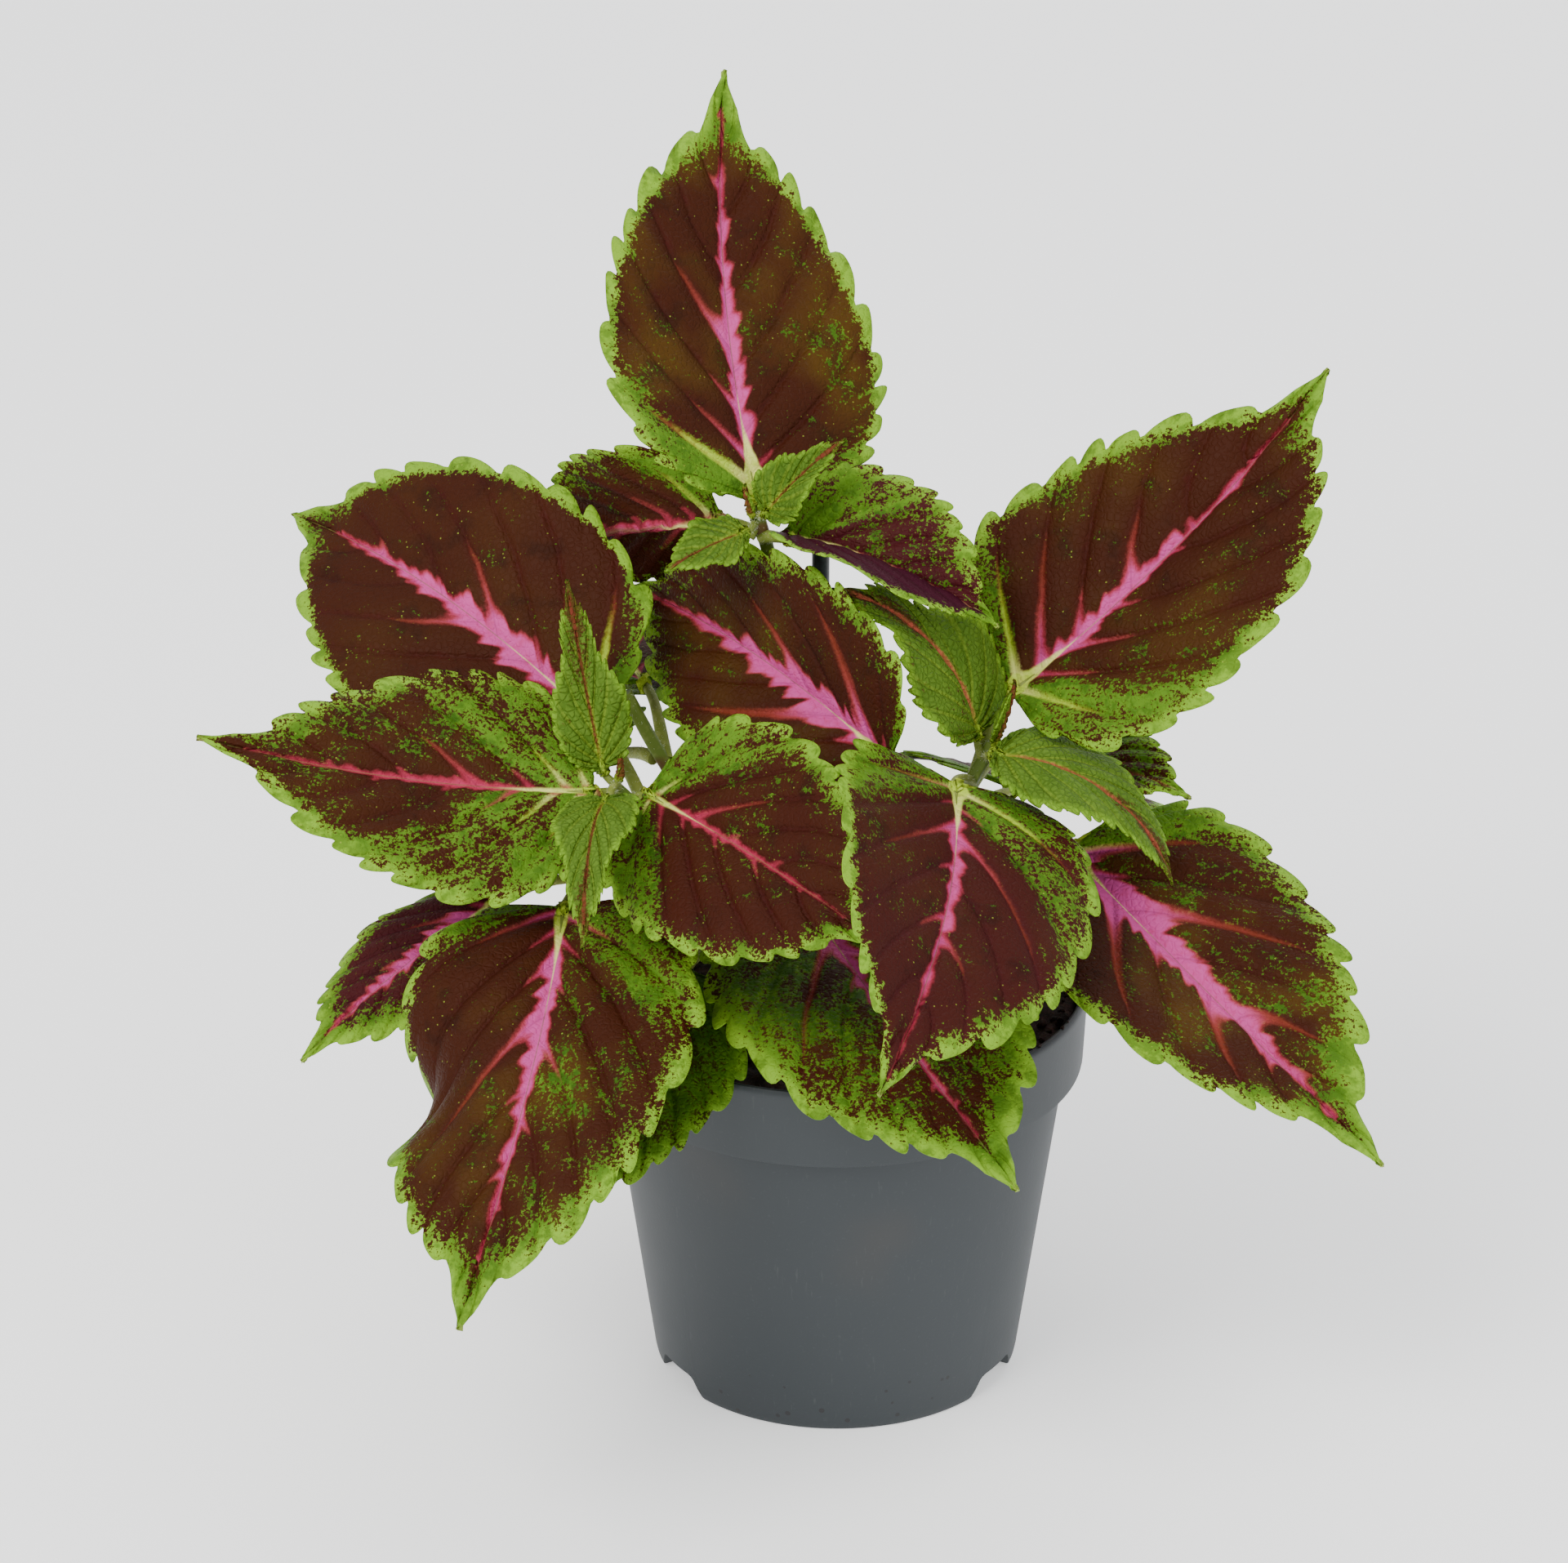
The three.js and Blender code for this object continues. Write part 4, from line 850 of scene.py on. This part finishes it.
leaflets = (
    ((-19, 21, 208), (-20.3, 20.2, 210.4), 200, 66, -20, 0, 8, 3.4),
    ((-19, 21, 208), (-17.7, 21.5, 210.5), 25, 68, -20, 0, 9, 3.8),
    ((-52, -17, 157), (-51, -16.2, 158.9), 10, 76, -20, 0, 6, 2.5),
    ((35.6, -3.2, 160), (36.8, -3.6, 162.4), -5, 64, -20, 0, 17, 7.1),
)
leafletUsual = dict(fold=(35, 35), curl=(10, 10), teeth=5, wave=0, petiole=(0.7, 0.5))
leafletLook = dict(young=True, speck=(0.2, 0.2))


def stemPaint(paint):
    place = paint.place()
    blotches, streaks = paint.grain(place, 60), paint.grain(place, 600)
    skin = paint.mix(blotches, colour(62, 88, 22), colour(98, 112, 40))
    skin = paint.mix(paint.fade(streaks, 0.5, 0.8) * 0.35, skin, colour(130, 138, 76))
    for scar in stemNodes:
        ring = paint.fall(paint.away(place, scar) + (blotches - 0.5) * 0.002, 0.0016, 0.0034)
        skin = paint.mix(ring * 0.75, skin, colour(78, 38, 24))
    paint.principled(skin, 0.5, 0.15, (streaks, 0.35, 0.0003))


def addBranch(name, path, thick, thin):
    branch, points = addCurve(name, len(path))
    for i, (point, spot) in enumerate(zip(points, path)):
        point.co = placed(spot)
        point.handle_left_type = point.handle_right_type = "AUTO"
        point.radius = thick + (thin - thick) * i / (len(path) - 1)
    # a square section with rounded corners
    bpy.ops.curve.primitive_bezier_circle_add(radius=mm)
    section = bpy.context.object
    for point in section.data.splines[0].bezier_points:
        point.handle_left_type = point.handle_right_type = "FREE"
        for side in ("handle_left", "handle_right"):
            away = getattr(point, side) - point.co
            setattr(point, side, point.co + away.normalized() * stemSection["handle"] * mm)
    section.data.resolution_u = stemSection["resolution"]
    branch.data.bevel_mode, branch.data.bevel_object, branch.data.resolution_u = "OBJECT", section, 10
    branch = meshed(branch)
    bpy.data.objects.remove(section)
    dress(branch, worn("stemGreen", stemPaint))
    return branch


def addStems():
    bars = [addBranch(name + "Branch", *branch) for name, branch in branches.items()]
    tips = [addLeaf("leaflet%d" % i, (*row, leafletUsual), leafletLook) for i, row in enumerate(leaflets)]
    downs = [addDown(bar, downForm["onStems"] // len(bars), seed) for seed, bar in enumerate(bars)]
    stems = joined(*bars, *tips, *downs)
    stems.name = "branchingStems"
    smooth(stems, 50)
    return stems


# ---- pot, compost and stake

potForm = dict(rim=60, height=99, collar=20, wallTop=55, wallFoot=44, wall=1.4, footWidth=3.4,
               floorRise=6, notchHeight=5.4, notchHalfAngle=12, notchAngles=(-30, 90, 210),
               drainRadius=4, drainCircle=27, drainCount=6, sides=144)
potMarks = dict(smears=((5.6, -49, 50), (12, -49, 58), (-30, -40, 70)), splashHeight=26)


def wallRadiusAt(height):
    p = potForm
    return p["wallFoot"] + (p["wallTop"] - p["wallFoot"]) * height / (p["height"] - p["collar"])


def potProfile():
    # half of the pot's section, from the middle of its floor out, up, and back down inside
    floor, wall, rim, top = (potForm[key] for key in ("floorRise", "wall", "rim", "height"))
    out, at = potForm["wallFoot"], wallRadiusAt
    foot, band = out - potForm["footWidth"], top - potForm["collar"]
    inner = lambda height: wallRadiusAt(height) - wall
    return [
        (0, floor), (foot - 1.2, floor), (foot - 0.3, floor - 0.4), (foot, floor - 1.2), (foot, 0.3),
        (foot + 0.3, 0), (out - 0.9, 0), (out - 0.35, 0.2), (out, 0.8), (at(2.4), 2.4),
        (at(band - 1.4), band - 1.4), (at(band) - 0.25, band - 0.5), (at(band) + 0.3, band),
        (rim - 1.6, band + 0.15), (rim - 1.1, band + 0.45), (rim - 0.95, band + 1.2),
        (rim - 0.15, top - 2.6), (rim, top - 1.6), (rim - 0.1, top - 0.7), (rim - 0.5, top - 0.15),
        (rim - 1.0, top), (rim - 1.5, top - 0.2), (rim - 1.75, top - 0.8), (rim - 2.2, band + 2.2),
        (inner(band), band), (inner(floor + 3), floor + 3), (inner(floor) - 1.2, floor + wall + 0.4),
        (inner(floor) - 3, floor + wall), (0, floor + wall),
    ]


def notchBlock(angle):
    # cuts one gap into the pot's foot: an arched gate, drawn out through the wall
    foot, high = potForm["wallFoot"], potForm["notchHeight"]
    half = foot * math.sin(math.radians(potForm["notchHalfAngle"]))
    side = [(half + 1.6, -1), (half + 0.55, 0.4), (half - 0.6, 2), (half - 1.5, 3.5), (half - 2.1, 4.5),
            (half - 2.9, high - 0.3), (half - 4.2, high)]
    gate = side + [(-x, z) for x, z in reversed(side)]
    turn = math.radians(angle)
    outward = Vector((*onCircle(1, turn), 0))
    across = Vector((-math.sin(turn), math.cos(turn), 0))
    corners = [placed(outward * far + across * x + Vector((0, 0, z)))
               for far in (foot - 12, foot + 8) for x, z in gate]
    count = len(gate)
    faces = [tuple(range(count)), tuple(reversed(range(count, 2 * count)))]
    faces += [(i, i + count, (i + 1) % count + count, (i + 1) % count) for i in range(count)]
    block = built("notch", corners, [], faces)
    editAll(block, faceOutwards)
    return block


def addPot():
    p = potForm
    profile = [placed((radius, 0, height)) for radius, height in potProfile()]
    pot = built("nurseryPot", profile, [(i, i + 1) for i in range(len(profile) - 1)], [])
    editAll(pot, lambda: bpy.ops.mesh.spin(steps=p["sides"], angle=2 * math.pi, center=potAxis,
                                           axis=(0, 0, 1)),
            lambda: bpy.ops.mesh.remove_doubles(threshold=0.02 * mm), faceOutwards)
    cutters = []
    for k in range(p["drainCount"]):
        spot = (*onCircle(p["drainCircle"], 2 * math.pi * k / p["drainCount"]), p["floorRise"])
        bpy.ops.mesh.primitive_cylinder_add(radius=p["drainRadius"] * mm, depth=8 * mm, vertices=32,
                                            location=placed(spot))
        cutters.append(bpy.context.object)
    cutters += [notchBlock(angle) for angle in p["notchAngles"]]
    for cutter in cutters:
        modify(pot, "BOOLEAN", object=cutter, operation="DIFFERENCE", solver="EXACT")
        bpy.data.objects.remove(cutter)
    smooth(pot, 32)
    dress(pot, worn("greyPotPlastic", potPaint))
    return pot


def potPaint(paint):
    # dull grey plastic with scuffs, smears, and splashes of soil near the foot
    mix, fade, place = paint.mix, paint.fade, paint.place()
    _, _, height = paint.apart(place)
    fine = paint.grain(place, 1400)
    cloudy = paint.grain(place, 40, detail=3)
    turned = paint.node("ShaderNodeMapping", {"vector_type": "TEXTURE"}, {"Vector": place,
                        "Location": tuple(potAxis), "Scale": (1, 1, 9)})
    scuffs = paint.grain(turned, 900, detail=3, roughness=0.7)
    ground = mix(cloudy, colour(38, 44, 47), colour(45, 50, 53))
    ground = mix(fade(fine, 0.62, 0.8) * 0.3, ground, colour(64, 69, 72))
    ground = mix(fade(scuffs + cloudy * 0.3, 0.78, 0.95) * 0.4, ground, colour(72, 75, 74))
    for spot in potMarks["smears"]:
        smear = paint.fall(paint.away(place, spot) + (cloudy - 0.5) * 0.02, 0.001, 0.014)
        ground = mix(smear * 0.16, ground, colour(66, 58, 50))
    lowly = paint.fall(height, 0.0, potMarks["splashHeight"] * mm)
    splash = paint.cells(place, 210) < (cloudy * 0.09 + lowly * 0.1)
    splash = splash * (fine * 0.6 + lowly * 0.5 > 0.55)
    ground = mix(splash * 0.6, ground, colour(26, 22, 20))
    paint.principled(ground, 0.5 + cloudy * 0.12, 0.4, (fine + cloudy, 0.12, 0.0002))


# topEdge and sideEdge: shares of the ball it starts from, where its top and its side end
soilForm = dict(top=94.5, radius=56.9, lumps=1.5, around=128, rings=72, topEdge=0.86, sideEdge=0.93,
                crumbs=420, fibres=70, rimCrumbs=26, spread=55.5, seed=5)


def lumpHeight(x, y):
    return soilForm["lumps"] * (math.sin(x * 0.31 + 1.3) * math.cos(y * 0.27 - 0.4)
                                + 0.6 * math.sin(x * 0.53 + y * 0.61)
                                + 0.3 * math.cos(x * 0.9 - y * 1.1)) / 1.4


def soilPoint(ball):
    # where a point of the unit ball goes: rough top, sides along the pot's wall, flat foot
    s = soilForm
    polar = math.acos(max(-1, min(1, ball.z))) / math.pi
    angle = math.atan2(ball.y, ball.x)
    if polar <= s["topEdge"]:
        radius = s["radius"] * min(1, polar / (s["topEdge"] - 0.02))
    elif polar <= s["sideEdge"]:
        height = 84 - (polar - s["topEdge"]) / 0.07 * 70
        radius = wallRadiusAt(min(height, 79)) - potForm["wall"] - 0.3
    else:
        height = potForm["floorRise"] + potForm["wall"] + 0.3
        radius = 38 * (1 - polar) / 0.07
    x, y = onCircle(radius, angle)
    if polar <= s["topEdge"]:
        rough = noise.fractal(Vector((x, y, 0)) / 2.6, 0.9, 2.1, 4) * 0.85
        height = s["top"] + lumpHeight(x, y) + rough - (3 if polar > s["topEdge"] - 0.02 else 0)
    return placed((x, y, height))


def addSoil():
    s = soilForm
    deselectAll()
    bpy.ops.mesh.primitive_uv_sphere_add(segments=s["around"], ring_count=s["rings"], radius=1)
    soil = added("pottingCompost")
    for vertex in soil.data.vertices:
        vertex.co = soilPoint(vertex.co)
    dice = random.Random(s["seed"])
    parts = [soil]
    bpy.ops.mesh.primitive_ico_sphere_add(subdivisions=1, radius=1)
    crumb = bpy.context.object
    for i in range(s["crumbs"] + s["fibres"] + s["rimCrumbs"]):
        radius = s["spread"] * math.sqrt(dice.random())
        angle = dice.uniform(0, 2 * math.pi)
        size = dice.uniform(0.4, 1.5)
        stretch = [size * dice.uniform(0.6, 1.3) for _ in range(3)]
        turn = Vector((dice.uniform(-1, 1), dice.uniform(-1, 1), 1)).to_track_quat("Z", "Y")
        top = None
        if i >= s["crumbs"] + s["fibres"]:
            radius, top = potForm["rim"] - 1.0, potForm["height"] + 0.1
            stretch = [0.45 * side for side in stretch]
        elif i >= s["crumbs"]:
            stretch = [dice.uniform(2.5, 6), 0.22, 0.2]
            turn = Vector((dice.uniform(-0.2, 0.2), dice.uniform(-0.2, 0.2), 1)).to_track_quat("Z", "Y")
        x, y = onCircle(radius, angle)
        centre = Vector((x, y, top or s["top"] + lumpHeight(x, y) + 0.2))
        copy = linked("crumb", crumb.data.copy())
        spin = Matrix.Rotation(angle * 7, 3, "Z")
        for vertex in copy.data.vertices:
            co = Vector([a * b for a, b in zip(vertex.co, stretch)])
            vertex.co = placed(centre + spin @ (turn @ co))
        parts.append(copy)
    bpy.data.objects.remove(crumb)
    for obj in parts:
        dress(obj, worn("compost", soilPaint))
    soil = joined(*parts)
    bpy.ops.object.shade_smooth()
    return soil


def soilPaint(paint):
    place = paint.place()
    coarse = paint.grain(place, 260, detail=4, roughness=0.7)
    fine = paint.grain(place, 1100, detail=3, roughness=0.6)
    skin = paint.mix(paint.fade(coarse, 0.35, 0.7), colour(22, 12, 10), colour(58, 34, 26))
    skin = paint.mix(paint.fade(fine, 0.62, 0.72) * 0.5, skin, colour(96, 60, 42))
    paint.principled(skin, 0.92, bump=(coarse + fine, 0.9, 0.0008))


stakeForm = dict(place=(-4, 30), radius=2.1, top=206, foot=34, point=9, pointShare=0.35, rounding=0.7)


def stakePaint(paint):
    fine = paint.grain(paint.place(), 900)
    skin = paint.mix(paint.fade(fine, 0.4, 0.7), colour(12, 24, 26), colour(24, 40, 42))
    paint.principled(skin, 0.45, bump=(fine, 0.2, 0.0002))


def addStake():
    s = stakeForm
    deselectAll()
    middle, long = (s["top"] + s["foot"] + s["point"]) / 2, s["top"] - s["foot"] - s["point"]
    bpy.ops.mesh.primitive_cylinder_add(radius=s["radius"] * mm, depth=long * mm, vertices=40,
                                        location=placed((*s["place"], middle)))
    stake = added("supportStake")
    bpy.ops.object.transform_apply(location=True, rotation=True, scale=True)
    bpy.ops.object.mode_set(mode="EDIT")
    bpy.ops.mesh.select_all(action="DESELECT")
    bpy.ops.object.mode_set(mode="OBJECT")
    for face in stake.data.polygons:
        face.select = face.normal.z < -0.9
    bpy.ops.object.mode_set(mode="EDIT")
    bpy.ops.mesh.select_mode(type="FACE")
    bpy.ops.mesh.extrude_region_move(TRANSFORM_OT_translate={"value": (0, 0, -s["point"] * mm)})
    bpy.ops.transform.resize(value=(s["pointShare"], s["pointShare"], 1),
                             center_override=placed((*s["place"], s["foot"])))
    bpy.ops.object.mode_set(mode="OBJECT")
    modify(stake, "BEVEL", width=s["rounding"] * mm, segments=4, limit_method="ANGLE",
           angle_limit=math.radians(50))
    smooth(stake, 40)
    dress(stake, worn("darkStakePlastic", stakePaint))
    return stake


def finishPiece(piece, slot, *nodes):
    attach(piece, "root")
    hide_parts(*nodes)


def pieceName(node):
    first, *rest = node.split("_")
    return first + "".join(word.capitalize() for word in rest) + "Fine"


addCamera()
addStudio()
print("camera, floor and light set")
finishPiece(addPot(), "pot_plastic", "pot")
print("pot made")
finishPiece(addSoil(), "soil", "soil")
print("compost made")
finishPiece(addStake(), "stake_plastic", "stake")
finishPiece(addStems(), "stem", "stems")
print("stake and stems made")
for node, row in leaves.items():
    look = leafLooks.get(node, {})
    finishPiece(addLeaf(pieceName(node), row, look), "young_leaf" if "young" in look else "leaf", node)
print("leaves made:", len(leaves))
